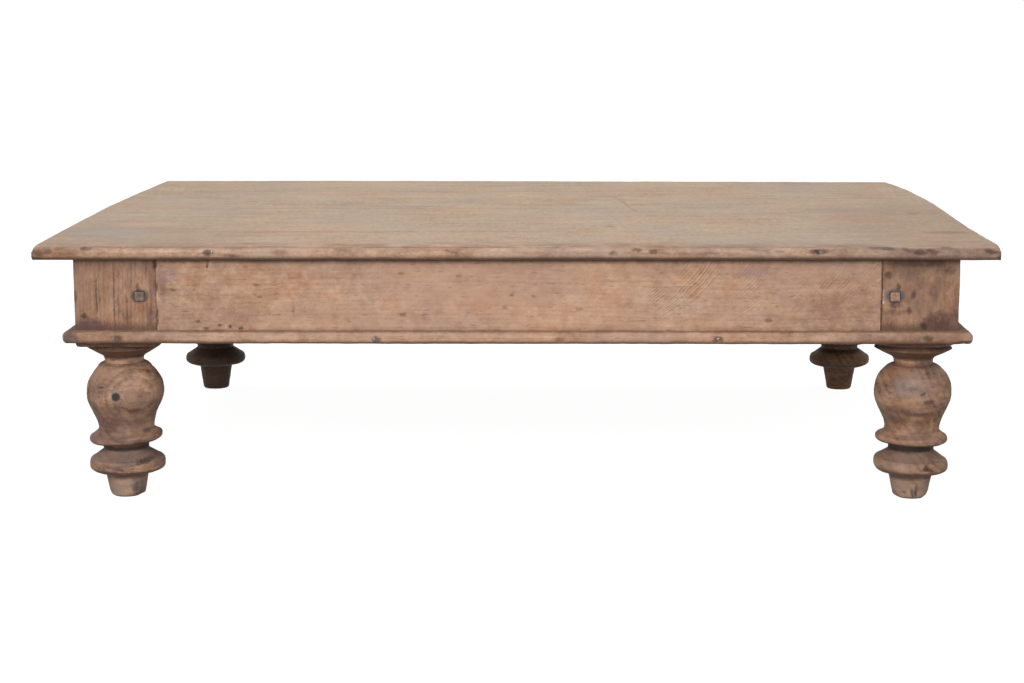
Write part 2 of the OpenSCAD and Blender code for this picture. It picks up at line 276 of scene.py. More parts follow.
def wear_corners(piece, half, radius):
    """Wears the upright corners of a rectangle round. Half is its half size along X and Y."""
    places = places_of(piece)
    centre = np.array(half) - radius
    out = np.abs(places[:, :2]) - centre
    inside = (out > 0).all(1)
    square = out[inside].max(1)
    out[inside] *= (square / np.linalg.norm(out[inside], axis=1))[:, None]
    worn = (out + centre) * np.sign(places[:, :2])
    places[inside, :2] = worn[inside]
    put_places(piece, places)


def hold_inside(piece, *nodes):
    """Keeps every vertex within the boxes of the nodes that the piece stands for."""
    corners = [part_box(node) for node in nodes]
    low = np.min([corner[0] for corner in corners], axis=0)
    high = np.max([corner[1] for corner in corners], axis=0)
    put_places(piece, np.clip(places_of(piece), low, high))


SMOOTH_BELOW = math.radians(40)


def finish_piece(piece, slot, *nodes):
    """Smooth shading, and the facts that tie a piece to the solid model."""
    take(piece)
    bpy.ops.object.shade_smooth_by_angle(angle=SMOOTH_BELOW)
    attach(piece, "root")
    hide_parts(*nodes)
    print(piece.name, len(piece.data.polygons), "faces")


# %% [markdown]
# ## Turned legs
# A leg is one piece of wood: a square block at the head and a turning below it. The turning is
# drawn up from a circle on the floor, ring by ring, in the radii of the solid model's own
# outline, much as a turner checks a spindle against a template.

# %% Measure the outline of a leg
LEGS = ["leg_front_left", "leg_front_right", "leg_back_right", "leg_back_left"]
RING_STEP = 2.2 * MM
BLOCK_BELOW = 8 * MM

leg_low, leg_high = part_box("leg_front_left")
half_block = (leg_high.x - leg_low.x) / 2
block_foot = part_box("moulding_front")[0].z - BLOCK_BELOW
turned_top = block_foot - 0.1 * MM


def middle_of_leg(name):
    """The foot of a leg's axis."""
    low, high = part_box(name)
    return Vector(((low.x + high.x) / 2, (low.y + high.y) / 2, 0))


def outline_of(name, top):
    """The [radius, height] of each ring below a height, from the floor up."""
    rings = {}
    axis = middle_of_leg(name)
    for vertex in frame["nodes"][name].data.vertices:
        place = vertex.co - axis
        if place.z < top:
            height = round(place.z, 5)
            rings[height] = max(rings.get(height, 0), math.hypot(place.x, place.y))
    return [(rings[height], height) for height in sorted(rings)]


def fill_in(outline, step):
    """The same outline with points no further apart than a step."""
    filled = [outline[0]]
    for (r0, z0), (r1, z1) in zip(outline, outline[1:]):
        count = max(1, math.ceil(math.hypot(r1 - r0, z1 - z0) / step))
        for k in range(1, count + 1):
            filled.append((r0 + (r1 - r0) * k / count, z0 + (z1 - z0) * k / count))
    return filled


turning = outline_of("leg_front_left", block_foot - MM)
print("outline of a leg:", len(turning), "rings, widest", round(max(turning)[0], 4))

# %% Turn the spindle
TURNED_FACETS = 120
FLARE_INSIDE = 20 * MM


def turn(name, rings, facets):
    """A turned solid: a circle drawn up ring by ring, in pairs of a radius and a height."""
    clear_bench()
    bpy.ops.mesh.primitive_circle_add(
        vertices=facets, radius=rings[0][0], fill_type="NGON", location=(0, 0, rings[0][1])
    )
    piece = bpy.context.object
    piece.name = name
    set_down(piece)
    edit(piece)
    bpy.ops.mesh.select_all(action="SELECT")
    for (r0, z0), (r1, z1) in zip(rings, rings[1:]):
        bpy.ops.mesh.extrude_region_move(TRANSFORM_OT_translate={"value": (0, 0, z1 - z0)})
        bpy.ops.transform.resize(value=(r1 / r0, r1 / r0, 1), center_override=(0, 0, z1))
    bpy.ops.mesh.select_all(action="SELECT")
    bpy.ops.mesh.normals_make_consistent(inside=False)
    clear_bench()
    return piece


rings = fill_in(turning, RING_STEP)
rings.append((rings[-1][0] + MM, block_foot + FLARE_INSIDE))
spindle = turn("spindle", rings, TURNED_FACETS)
print("spindle:", len(spindle.data.vertices), "vertices")

# %% [markdown]
# The lathe cuts the lower corners of the square block away to a cone before it reaches the
# round. On the right front leg it cut deeper, to a flatter cone. A block crossed with a cone
# gives that line, and a union joins it to the spindle.

# %% Cut a block and join it to its spindle
BLOCK_STEP = 3 * MM
ARRIS_R = 1.3 * MM
# The radius of the cone at the block's foot, and how steeply it widens.
CONES = {"leg_front_right": (68 * MM, 0.5)}
PLAIN_CONE = (83 * MM, 1.0)
CONE_HEIGHT = 0.5


def combine(piece, kind, tool):
    """Joins, cuts or crosses a piece with another one, which is used up."""
    take(piece)
    joint = piece.modifiers.new("joint", "BOOLEAN")
    joint.operation = kind
    joint.object = tool
    joint.solver = "EXACT"
    bpy.ops.object.modifier_apply(modifier=joint.name)
    bpy.data.objects.remove(tool)


def cut_block(cone_r, slope):
    """The head of a leg round its own axis, with its lower corners turned off."""
    head = block("head", (-half_block, -half_block, block_foot), (half_block, half_block, leg_high.z))
    for axis in range(3):
        cut_up(head, axis, BLOCK_STEP)

    def on_arris(edge):
        place = middle_of(edge)
        sides = [abs(abs(place.x) - half_block) < NEAR, abs(abs(place.y) - half_block) < NEAR]
        return all(sides) or (any(sides) and place.z < block_foot + NEAR)

    bevel(head, ARRIS_R, 2, on_arris)
    bpy.ops.mesh.primitive_cone_add(
        vertices=TURNED_FACETS,
        radius1=cone_r,
        radius2=cone_r + CONE_HEIGHT / slope,
        depth=CONE_HEIGHT,
        location=(0, 0, block_foot + CONE_HEIGHT / 2),
    )
    combine(head, "INTERSECT", bpy.context.object)
    return head


raw_legs = {}
for name in LEGS:
    leg = spindle.copy()
    leg.data = spindle.data.copy()
    leg.name = name.replace("leg", "turned_leg")
    bpy.context.scene.collection.objects.link(leg)
    combine(leg, "UNION", cut_block(*CONES.get(name, PLAIN_CONE)))
    raw_legs[name] = leg
bpy.data.objects.remove(spindle)
print("legs:", {name: len(leg.data.polygons) for name, leg in raw_legs.items()})

# %% [markdown]
# No two legs turned by eye are the same. Each one leaves the template a little: a disc sits
# lower or higher, a ball is fuller, a ring runs out of true. The lists give such changes as
# pairs of a height on the template and a change there, both in millimetres. Rise moves the
# height, swell the radius, lean the middle, and tilt is the rise per millimetre to the right.

# %% Give each leg its own hand
HAND = {
    "leg_front_left": {
        "rise": [(0, 0), (37, -1.5), (54, -1.8), (77, -1.5), (83, 2), (95, 0.5), (110, 0),
                 (195, 0), (215, 2.5), (226, -3.5), (246, -4), (250, 0)],
        "swell": [(0, 0.6), (4, 1.6), (20, 1.4), (37, 0.9), (54, 0.4), (70, 0), (95, 0.4),
                  (108, 1.2), (125, 0.6), (140, -0.5), (155, 0.3), (165, 0.9), (185, 0.9),
                  (195, -1), (207, -3), (215, 0.8), (222, 1.2), (235, 2), (250, 0)],
        "lean": [(0, 0.3), (35, -0.5), (45, 1.2), (65, 1.2), (80, -0.5), (95, -0.5), (110, 1),
                 (125, 0.5), (135, -0.7), (155, -0.3), (170, 1.2), (205, 1.5), (220, 0.5), (250, 0)],
        "tilt": [(80, 0), (88, 0.048), (100, 0.048), (112, 0)],
    },
    "leg_front_right": {
        "rise": [(0, 0), (37, 0), (54, -0.5), (77, 0), (83, 3), (95, 0.8), (110, 0),
                 (215, 0), (226, -4), (246, -5), (250, 0)],
        "swell": [(0, 0.2), (4, 1.2), (37, 1.2), (45, -0.8), (60, -0.9), (77, 0), (90, -1),
                  (100, -0.8), (110, 0), (125, -0.3), (150, -0.9), (165, 0.2), (185, 0.8),
                  (200, 0.3), (207, -1), (215, 0.6), (226, 1), (240, 4), (249, 4), (250, 0)],
        "lean": [(0, 1.2), (80, 0.6), (100, 0.9), (125, 1.4), (215, 1), (250, 0)],
        "tilt": [(40, 0), (50, -0.045), (62, -0.045), (76, -0.02), (95, -0.03), (110, 0)],
    },
    "leg_back_left": {
        "rise": [(0, 0), (37, 9), (54, 6), (77, 6.5), (83, 8), (95, 6), (110, 4), (130, 0)],
        "swell": [(0, -0.5), (30, -1), (37, -1.2), (54, -0.3), (77, 0)],
    },
    "leg_back_right": {
        "rise": [(0, 0), (37, 6.5), (54, 4.5), (77, 5.5), (83, 6.5), (95, 5), (110, 3), (130, 0)],
        "swell": [(0, -1.8), (30, -1.5), (37, -1.2), (54, -0.5), (77, 0)],
    },
}


def read_off(pairs, heights):
    """A change at each height, between the pairs of a list."""
    table = np.array(pairs, float) * MM
    return np.interp(heights, table[:, 0], table[:, 1])


def follow_hand(leg, hand):
    """Moves the turned part of a leg, round its own axis, by the lists of changes."""
    places = places_of(leg)
    turned = places[:, 2] < turned_top
    z = places[:, 2].copy()
    radius = np.maximum(np.hypot(places[:, 0], places[:, 1]), MM)
    none = [(0, 0)]
    grown = 1 + read_off(hand.get("swell", none), z) / radius
    tilt = read_off(hand.get("tilt", none), z) / MM
    moved = places.copy()
    moved[:, 0] = places[:, 0] * grown + read_off(hand.get("lean", none), z)
    moved[:, 1] = places[:, 1] * grown
    moved[:, 2] = z + read_off(hand.get("rise", none), z) + tilt * places[:, 0]
    places[turned] = moved[turned]
    places[:, 2] = np.maximum(places[:, 2], 0)
    put_places(leg, places)


for name, leg in raw_legs.items():
    follow_hand(leg, HAND[name])
print("ball of the left front leg:", round(max(places_of(raw_legs["leg_front_left"])[:, 0]), 4))

# %% [markdown]
# The blocks were sawn by eye too: the left one at the front is 8 mm wider than the right one,
# and the right ones stand 3 mm further in than the drawing has them. The inner faces of the front
# ones set where the front apron begins and ends. Small chips are missing from the front feet.

# %% Set the legs in their places
# In millimetres: the left and the right face of a block, and then, for the chips of a foot, the
# centre, the reach and the depth, from the leg's own axis.
BLOCK_FACES = {
    "leg_front_left": (-690, -561),
    "leg_front_right": (566, 687),
    "leg_back_right": (565, 687),
}
FOOT_CHIPS = {
    "leg_front_left": [((25, -8, 0), (13, 18, 11), 1.5), ((-26, -6, 0), (13, 18, 11), 1)],
    "leg_front_right": [((25, -10, 0), (13, 18, 11), 2), ((-25, -10, 0), (13, 18, 11), 2)],
}
for name, leg in raw_legs.items():
    middle = middle_of_leg(name)
    if name in BLOCK_FACES:
        low_x, high_x = (v * MM - middle.x for v in BLOCK_FACES[name])
        places = places_of(leg)
        head = places[:, 2] > turned_top
        wide = np.where(places[:, 0] < 0, -low_x, high_x) / half_block
        places[head, 0] *= wide[head]
        put_places(leg, places)
    knock(leg, FOOT_CHIPS.get(name, []))
    leg.location = middle
    set_down(leg)
    roll_surface(leg, (45, 1.6), (12, 0.8))
    hold_inside(leg, name, *(["apron_front"] if name in BLOCK_FACES else []))
inner_left = BLOCK_FACES["leg_front_left"][1] * MM
inner_right = BLOCK_FACES["leg_front_right"][0] * MM
print("front apron from", round(inner_left, 4), "to", round(inner_right, 4))

# %% [markdown]
# ## Top
# Four boards make the top, each with a tongue in the groove of the next. A board starts as a
# plain block. The tongue and the groove are drawn from strips of its long sides, the edges are
# rounded, and only then is it cut up finely enough to wear.

# %% Helpers that shape a board
TONGUE_HALF = 4 * MM
TONGUE_LENGTH = 8 * MM
FIT = 0.2 * MM


def slice_across(piece, place, direction):
    """Cuts every face of a piece, in edit mode, along a plane."""
    bpy.ops.mesh.select_all(action="SELECT")
    bpy.ops.mesh.bisect(plane_co=place, plane_no=direction)


def draw_strip(board, side_y, half, reach):
    """Pulls the middle strip of a long side out to a tongue or in to a groove."""
    low, high = piece_box(board)
    middle = (low.z + high.z) / 2
    edit(board)
    pick(
        board,
        "FACE",
        lambda face: abs(middle_of(face).y - side_y) < NEAR
        and abs(middle_of(face).z - middle) < half,
    )
    bpy.ops.mesh.extrude_region_move(TRANSFORM_OT_translate={"value": (0, reach, 0)})
    clear_bench()


# %% Make the four boards
BOARDS = ["top_board_front", "top_board_second", "top_board_third", "top_board_back"]
NOSE_TOP_R = 9 * MM
NOSE_FOOT_R = 11 * MM
END_R = 7 * MM
SEAM_R = 0.7 * MM
# The front board's edge is seen from near, so it is cut more finely than the others.
BOARD_STEP = {"top_board_front": 2.5 * MM}
PLAIN_STEP = 5 * MM
CROSS_STEP = 7 * MM

boards = {}
for name in BOARDS:
    low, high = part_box(name)
    front_board, back_board = name == BOARDS[0], name == BOARDS[-1]
    if not back_board:
        high.y -= TONGUE_LENGTH
    board = block(name.replace("top_board", "worn_board"), low, high)
    middle = (low.z + high.z) / 2
    edit(board)
    for rise in (-TONGUE_HALF - FIT, -TONGUE_HALF, TONGUE_HALF, TONGUE_HALF + FIT):
        slice_across(board, (0, 0, middle + rise), (0, 0, 1))
    if not back_board:
        draw_strip(board, high.y, TONGUE_HALF, TONGUE_LENGTH)
    if not front_board:
        draw_strip(board, low.y, TONGUE_HALF + FIT, TONGUE_LENGTH + FIT)
    outer_y = low.y if front_board else high.y if back_board else None

    def runs_at(edge, y, z):
        """True for an edge that runs the length of the board at that place across it."""
        place = middle_of(edge)
        long = abs(edge.verts[0].co.x - edge.verts[1].co.x) > 1
        return long and abs(place.y - y) < NEAR and abs(place.z - z) < NEAR

    if outer_y is not None:
        bevel(board, NOSE_TOP_R, 8, lambda edge: runs_at(edge, outer_y, high.z))
        bevel(board, NOSE_FOOT_R, 7, lambda edge: runs_at(edge, outer_y, low.z))
    for y in {low.y, high.y} - {outer_y}:
        bevel(board, SEAM_R, 1, lambda edge: runs_at(edge, y, high.z))

    def round_end(edge):
        """True on the outline of an end, but not where a seam, tongue or groove meets it."""
        ends = sum(abs(face.normal.x) > 0.99 for face in edge.link_faces)
        place = middle_of(edge)
        outside = min(abs(place.z - low.z), abs(place.z - high.z)) < NEAR
        if outer_y is not None:
            outside = outside or abs(place.y - outer_y) < NOSE_TOP_R
        return ends == 1 and outside

    bevel(board, END_R, 3, round_end)
    cut_up(board, 0, BOARD_STEP.get(name, PLAIN_STEP))
    cut_up(board, 1, CROSS_STEP)
    boards[name] = board
print("boards:", {name: len(board.data.polygons) for name, board in boards.items()})

# %% [markdown]
# The ends of the top aren't quite straight: the boards were sawn off one by one, and the
# further ones are a little shorter. The lists give the end's place, in millimetres, at places
# across the top. The back edge runs in towards the right, and the face is worn lower there. Arms
# and sleeves have worn the front of the face down. The corners are worn round, and the front edge
# is knocked and chipped.

# %% Wear the four boards
HALF_TOP = cad_high.x
LEFT_END = [(-540, 755), (16, 753), (101, 749), (189, 745.5), (281, 742), (378, 739.5),
            (478, 736.5), (540, 733)]
RIGHT_END = [(-540, 746), (-490, 750), (-428, 747.5), (-362, 743.5), (-293, 742), (-222, 742.4),
             (-148, 742.9), (-70, 744), (94, 745.8), (181, 744), (273, 740), (368, 738.5),
             (468, 731), (540, 722)]
# How far the back edge runs in and how far its face is worn down, at places along the top, and
# between which places across the top either begins and is complete.
BACK_EDGE = [(-750, 0), (-300, 0), (0, 6), (170, 11), (400, 16), (640, 22), (750, 24)]
BACK_WEAR = [(-750, 0), (-300, 0), (0, 0.3), (170, 0.7), (750, 1.3)]
BACK_EDGE_ACROSS = (340, 540)
BACK_WEAR_ACROSS = (100, 500)
FRONT_WEAR = 2.2 * MM
FRONT_WEAR_ACROSS = (-494, -534)
FRONT_WEAR_CURVE = 1.5
FACE_DEPTH = 10 * MM
TOP_CORNER_R = 5 * MM
# Centre, reach and depth of each knock on the front edge, in millimetres.
NOSE_KNOCKS = [
    ((-748, -536, 409), (18, 20, 11), 4.5), ((744, -536, 409), (13, 16, 10), 3.5),
    ((-726, -539, 407), (7, 8, 5), 2.4), ((-707, -528, 409), (6, 8, 5), 1.6),
    ((-668, -526, 409), (8, 9, 5), 1.4), ((-609, -528, 409), (9, 10, 6), 1.4),
    ((-538, -539, 404), (14, 8, 7), 0.9), ((-392, -539, 400), (18, 8, 6), 0.8),
    ((-250, -528, 409), (16, 9, 5), 0.8), ((-95, -539, 401), (22, 8, 6), 0.8),
    ((60, -526, 409), (13, 9, 5), 1.8), ((151, -540, 401), (8, 8, 6), 1.6),
    ((190, -538, 406), (24, 9, 7), 1.7), ((300, -539, 403), (20, 8, 7), 0.8),
    ((408, -536, 409), (14, 8, 5), 1.0), ((560, -527, 409), (30, 10, 6), 1.9),
    ((625, -540, 403), (27, 9, 6), 2.0), ((664, -527, 409), (11, 9, 5), 1.8),
    ((731, -538, 405), (15, 10, 9), 2.2),
]


def between(values, start, end):
    """0 up to the start and 1 from the end on, and evenly from one to the other."""
    return np.clip((values - start) / (end - start), 0, 1)


def wear_to_measure(board):
    """Moves the ends and the back edge to their measured places, and wears the face down."""
    places = places_of(board)
    y = places[:, 1] / MM
    left = np.interp(y, *np.array(LEFT_END).T)
    right = np.interp(y, *np.array(RIGHT_END).T)
    limit = np.where(places[:, 0] < 0, left, right) * MM
    places[:, 0] *= limit / HALF_TOP
    back = np.interp(places[:, 0] / MM, *np.array(BACK_EDGE).T) * MM
    places[:, 1] -= back * between(y, *BACK_EDGE_ACROSS)
    lower = np.interp(places[:, 0] / MM, *np.array(BACK_WEAR).T) * MM
    face = places[:, 2] > cad_high.z - FACE_DEPTH
    places[:, 2] -= lower * between(y, *BACK_WEAR_ACROSS) * face
    places[:, 2] -= FRONT_WEAR * between(y, *FRONT_WEAR_ACROSS) ** FRONT_WEAR_CURVE * face
    put_places(board, places)


for name, board in boards.items():
    wear_corners(board, (HALF_TOP, cad_high.y), TOP_CORNER_R)
    wear_to_measure(board)
    if name == BOARDS[0]:
        knock(board, NOSE_KNOCKS)
    roll_surface(board, (90, 0.9), (18, 0.6))
    hold_inside(board, name)
    finish_piece(board, "top_boards", name)

# %% [markdown]
# ## Frame
# The aprons run between the blocks, so the front one ends where the measured blocks end. The
# right side of the frame stands 3 mm further in than the drawing has it, with its moulding.

# %% Make the aprons
SIDES = ["front", "right", "back", "left"]
RIGHT_SHIFT = -3 * MM
APRON_R = 1.2 * MM
APRON_STEP = 4 * MM
# The measured frame reaches a little into the boxes of these nodes.
BESIDE = {"front": "leg_front_left", "right": "leg_front_right"}


def axis_along(side):
    """The axis that a side of the frame runs along: 0 for X and 1 for Y."""
    return 0 if side in ("front", "back") else 1


for side in SIDES:
    low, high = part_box("apron_" + side)
    along = axis_along(side)
    low[along], high[along] = leg_high[along], -leg_high[along]
    if side == "front":
        low.x, high.x = inner_left, inner_right
    if side == "right":
        low.x, high.x = low.x + RIGHT_SHIFT, high.x + RIGHT_SHIFT
    apron = block("worn_apron_" + side, low, high)
    bevel(apron, APRON_R, 2, lambda edge: True)
    cut_up(apron, along, APRON_STEP)
    cut_up(apron, 2, APRON_STEP)
    roll_surface(apron, (120, 1.0), (16, 0.5))
    hold_inside(apron, "apron_" + side, BESIDE.get(side, "apron_" + side))
    finish_piece(apron, "aprons", "apron_" + side)

# %% [markdown]
# The moulding is a rounded strip under each apron, mitred at the corners and nailed through its
# face. Each nail was driven a little below the wood, which left a small dent round its head.
# The nails' places are read from the solid model.

# %% Find the nails and the screws
HEAD_APART = 12 * MM
OUTWARDS = {
    "front": Vector((0, -1, 0)),
    "right": Vector((1, 0, 0)),
    "back": Vector((0, 1, 0)),
    "left": Vector((-1, 0, 0)),
}


def heads_of(name, outwards):
    """The middles of the heads of a node's nails or screws, at their outer ends.

    Vertices that lie near each other, seen from outside, belong to one nail.
    """
    bunches = []
    for vertex in frame["nodes"][name].data.vertices:
        for bunch in bunches:
            apart = vertex.co - bunch[0]
            if (apart - outwards * apart.dot(outwards)).length < HEAD_APART:
                bunch.append(vertex.co)
                break
        else:
            bunches.append([vertex.co])
    heads = []
    for bunch in bunches:
        middle = sum(bunch, Vector()) / len(bunch)
        tip = max(place.dot(outwards) for place in bunch)
        heads.append(middle + outwards * (tip - middle.dot(outwards)))
    return heads


nail_heads = {side: heads_of("moulding_nails_" + side, OUTWARDS[side]) for side in SIDES}
edge_heads = heads_of("edge_nails", OUTWARDS["front"])
print("nails:", {side: len(heads) for side, heads in nail_heads.items()}, len(edge_heads))

# %% Make the mouldings
MOULDING_TOP_R = 7 * MM
MOULDING_FOOT_R = 8 * MM
MOULDING_CORNER_R = 5.5 * MM
MOULDING_STEP = 2.5 * MM
MOULDING_HALF = mm(707, 540)
NAIL_DENT = (6.5, 6.5, 6.5)
NAIL_DENT_DEPTH = 1.5 * MM
# Centre, reach and depth of each knock on the front moulding, in millimetres.
STRIP_KNOCKS = [
    ((-702, -538, 267), (12, 8, 12), 1.5), ((-640, -538, 276), (16, 8, 4), 0.8),
    ((-420, -539, 262), (22, 8, 6), 0.9), ((-60, -538, 275), (18, 8, 5), 0.8),
    ((67, -540, 265), (9, 8, 7), 1.0), ((250, -538, 262), (30, 8, 5), 0.8),
    ((470, -538, 275), (14, 8, 5), 0.8), ((696, -537, 260), (14, 10, 6), 2.6),
]


def sink_nails(piece, heads):
    """Leaves a dent round the head of each nail."""
    for head in heads:
        dent(piece, head, mm(*NAIL_DENT), NAIL_DENT_DEPTH)


for side in SIDES:
    name = "moulding_" + side
    low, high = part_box(name)
    along = axis_along(side)
    across = 1 - along
    out = OUTWARDS[side][across]
    if side == "front":
        low.x, high.x = -MOULDING_HALF[0], MOULDING_HALF[0]
    elif side == "right":
        low.x, high.x = low.x + RIGHT_SHIFT, MOULDING_HALF[0]
    elif side == "left":
        low.x = -MOULDING_HALF[0]
    outer = low[across] if out < 0 else high[across]
    strip = block("worn_" + name, low, high)

    def outer_edge(edge, height):
        place = middle_of(edge)
        return abs(place[across] - outer) < NEAR and abs(place.z - height) < NEAR

    bevel(strip, MOULDING_TOP_R, 7, lambda edge: outer_edge(edge, high.z))
    bevel(strip, MOULDING_FOOT_R, 6, lambda edge: outer_edge(edge, low.z))
    cut_up(strip, along, MOULDING_STEP)
    edit(strip)
    for end in (-1, 1):
        corner, direction = Vector(), Vector()
        corner[along] = low[along] if end < 0 else high[along]
        corner[across] = outer
        direction[along] = end
        direction[across] = -out
        bpy.ops.mesh.select_all(action="SELECT")
        bpy.ops.mesh.bisect(plane_co=corner, plane_no=direction, use_fill=True, clear_outer=True)
    clear_bench()
    wear_corners(strip, MOULDING_HALF, MOULDING_CORNER_R)
    sink_nails(strip, nail_heads[side])
    if side == "front":
        knock(strip, STRIP_KNOCKS)
    roll_surface(strip, (60, 1.0), (14, 0.7))
    hold_inside(strip, name, *(["leg_front_right"] if side == "right" else []))
    finish_piece(strip, "mouldings", name)

sink_nails(boards[BOARDS[0]], edge_heads)
hold_inside(boards[BOARDS[0]], BOARDS[0])

# %% [markdown]
# ## Pegs
# A peg holds each tenon in its block. The pegs were whittled, so their heads are a little
# crooked. The one at the front left has shrunk into a wide ragged hole, and the one at the
# front right stands out. A hole is cut into the block round each head.

# %% Cut a hole for a peg
# All in millimetres: how far a peg stands out, how round its edges are, the hole's half width
# and half height, its depth, its shift sideways and up, and how ragged it is.
PEG_FITS = {
    "peg_front_left": {
        "proud": -1.0, "rounded": 1.2, "hole": (9.6, 8.4), "depth": 3, "shift": (0.5, 0.3), "ragged": 4,
    },
    "peg_front_right": {
        "proud": 2.4, "rounded": 2.2, "hole": (8.8, 8.8), "depth": 2.5, "shift": (-0.3, -0.4),
        "ragged": 3.5,
    },
}
PLAIN_FIT = {
    "proud": 1.5, "rounded": 1.2, "hole": (8.6, 8.6), "depth": 3, "shift": (0, 0), "ragged": 2.5,
}
CUTTER_OUTSIDE = 5 * MM
HOLE_R = 2.5 * MM


def cut_finer(piece):
    """Cuts every edge of a piece into four."""
    edit(piece)
    bpy.ops.mesh.select_all(action="SELECT")
    bpy.ops.mesh.subdivide(number_cuts=3)


def cut_hole(leg, middle, across, face, out, fit):
    """Cuts a ragged hole round a middle into the face of a block, and gives its two corners."""
    along = 1 - across
    hole, shift = fit["hole"], fit["shift"]
    low, high = Vector(), Vector()
    low[along] = middle[along] + (shift[0] - hole[0]) * MM
    high[along] = middle[along] + (shift[0] + hole[0]) * MM
    low.z = middle.z + (shift[1] - hole[1]) * MM
    high.z = middle.z + (shift[1] + hole[1]) * MM
    low[across], high[across] = sorted((face + out * CUTTER_OUTSIDE, face - out * fit["depth"] * MM))
    cutter = block("hole", low, high)
    bevel(cutter, HOLE_R, 2, lambda edge: True)
    cut_finer(cutter)
    roll_surface(cutter, (6, fit["ragged"]))
    combine(leg, "DIFFERENCE", cutter)
    return low, high


# %% Whittle a peg
PEG_HEAD = 7 * MM
PEG_STEP = 2 * MM
PEG_SHANK = 60 * MM


def whittle(name, across, face, out, fit):
    """A crooked peg: its head stands out of a face, and its shank is inset and drawn inwards."""
    low, high = (Vector(corner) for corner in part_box(name))
    inner = face - out * PEG_HEAD
    low[across], high[across] = sorted((face + out * fit["proud"] * MM, inner))
    peg = block("whittled_" + name, low, high)
    edit(peg)
    pick(peg, "FACE", lambda part: abs(middle_of(part)[across] - inner) < NEAR)
    bpy.ops.mesh.inset(thickness=PEG_STEP)
    reach = Vector()
    reach[across] = -out * PEG_SHANK
    bpy.ops.mesh.extrude_region_move(TRANSFORM_OT_translate={"value": reach})
    clear_bench()
    bevel(peg, fit["rounded"] * MM, 3, lambda edge: True)
    cut_finer(peg)
    roll_surface(peg, (9, 1.4))
    hold_inside(peg, name)
    finish_piece(peg, "pegs", name)


# %% Make the pegs and their holes
peg_holes = []
for name in sorted(name for name in frame["nodes"] if name.startswith("peg_")):
    words = name.split("_")[1:]
    leg_name = next(leg for leg in LEGS if set(leg.split("_")[1:]) == set(words))
    across = 1 - axis_along(words[0])
    out = OUTWARDS[words[0]][across]
    face = (leg_low.x if across == 0 else leg_low.y) * -out
    if name == "peg_right_front":
        face += RIGHT_SHIFT
    low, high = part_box(name)
    fit = PEG_FITS.get(name, PLAIN_FIT)
    hole = cut_hole(raw_legs[leg_name], (low + high) / 2, across, face, out, fit)
    peg_holes.append((leg_name, across, face, *hole))
    whittle(name, across, face, out, fit)
print("holes for pegs:", len(peg_holes))

for name, leg in raw_legs.items():
    finish_piece(leg, "turned_legs", name)

# %% [markdown]
# ## Battens
# Three rough sawn battens under the top keep its boards flat. They are thicker between the
# aprons, and their ends lap into them.

# %% Make the battens
LAP = 20 * MM
LAP_THICKNESS = 14 * MM
BATTEN_R = 1.2 * MM
SHARP = 0.5

for name in ("batten_left", "batten_middle", "batten_right"):
    low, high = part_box(name)
    batten = block("sawn_" + name, (low.x, low.y + LAP, low.z), (high.x, high.y - LAP, high.z))
    edit(batten)
    slice_across(batten, (0, 0, high.z - LAP_THICKNESS), (0, 0, 1))
    for end in (-1, 1):
        end_y = low.y + LAP if end < 0 else high.y - LAP
        pick(
            batten,
            "FACE",
            lambda face: abs(middle_of(face).y - end_y) < NEAR
            and middle_of(face).z > high.z - LAP_THICKNESS,
        )
        bpy.ops.mesh.extrude_region_move(TRANSFORM_OT_translate={"value": (0, end * LAP, 0)})
    clear_bench()
    bevel(batten, BATTEN_R, 2, lambda edge: edge.calc_face_angle(0) > SHARP)
    cut_up(batten, 1, 5 * MM)
    cut_up(batten, 0, 8 * MM)
    roll_surface(batten, (40, 1.0), (9, 0.5))
    hold_inside(batten, name)
    finish_piece(batten, "battens", name)

# %% [markdown]
# ## Iron
# A nail is hammered iron with a low, uneven dome for a head. A screw has a slot filed across
# it. One of each is turned upright at the origin, from pairs of a radius and a height in
# millimetres. Copies are turned and set in place, each with its slot or its dome another way.

# %% Make one nail and one screw
NAIL_RINGS = [(0.4, -42), (1.3, -36), (1.5, -3), (2.9, -2.2), (3.2, -1.4), (3.15, -0.8),
              (2.7, -0.35), (1.9, -0.1), (0.9, 0)]
SCREW_RINGS = [(0.3, -45), (1.2, -41), (2.0, -36), (2.0, -4), (4.4, -0.9), (4.5, -0.4),
               (4.3, 0), (1.5, 0)]
TURN_EACH = 37

nail = turn("nail", [mm(*ring) for ring in NAIL_RINGS], facets=14)
roll_surface(nail, (2.5, 0.5))
screw = turn("screw", [mm(*ring) for ring in SCREW_RINGS], facets=20)
combine(screw, "DIFFERENCE", block("slot", mm(-6, -0.6, -1.3), mm(6, 0.6, 2)))
print("nail:", len(nail.data.polygons), "faces, screw:", len(screw.data.polygons))


def drive(pattern, node, heads, outwards):
    """Sets a copy of a pattern at each head, each turned further, and joins them to one piece."""
    copies = []
    for number, head in enumerate(heads):
        made = pattern.copy()
        made.data = pattern.data.copy()
        bpy.context.scene.collection.objects.link(made)
        upright = outwards.to_track_quat("Z", "Y").to_matrix().to_4x4()
        spun = Matrix.Rotation(math.radians(TURN_EACH * (number + 1)), 4, "Z")
        made.matrix_world = Matrix.Translation(head) @ upright @ spun
        copies.append(made)
    clear_bench()
    for made in copies:
        made.select_set(True)
    bpy.context.view_layer.objects.active = copies[0]
    bpy.ops.object.join()
    piece = copies[0]
    piece.name = "iron_" + node
    set_down(piece)
    hold_inside(piece, node)
    finish_piece(piece, "iron", node)


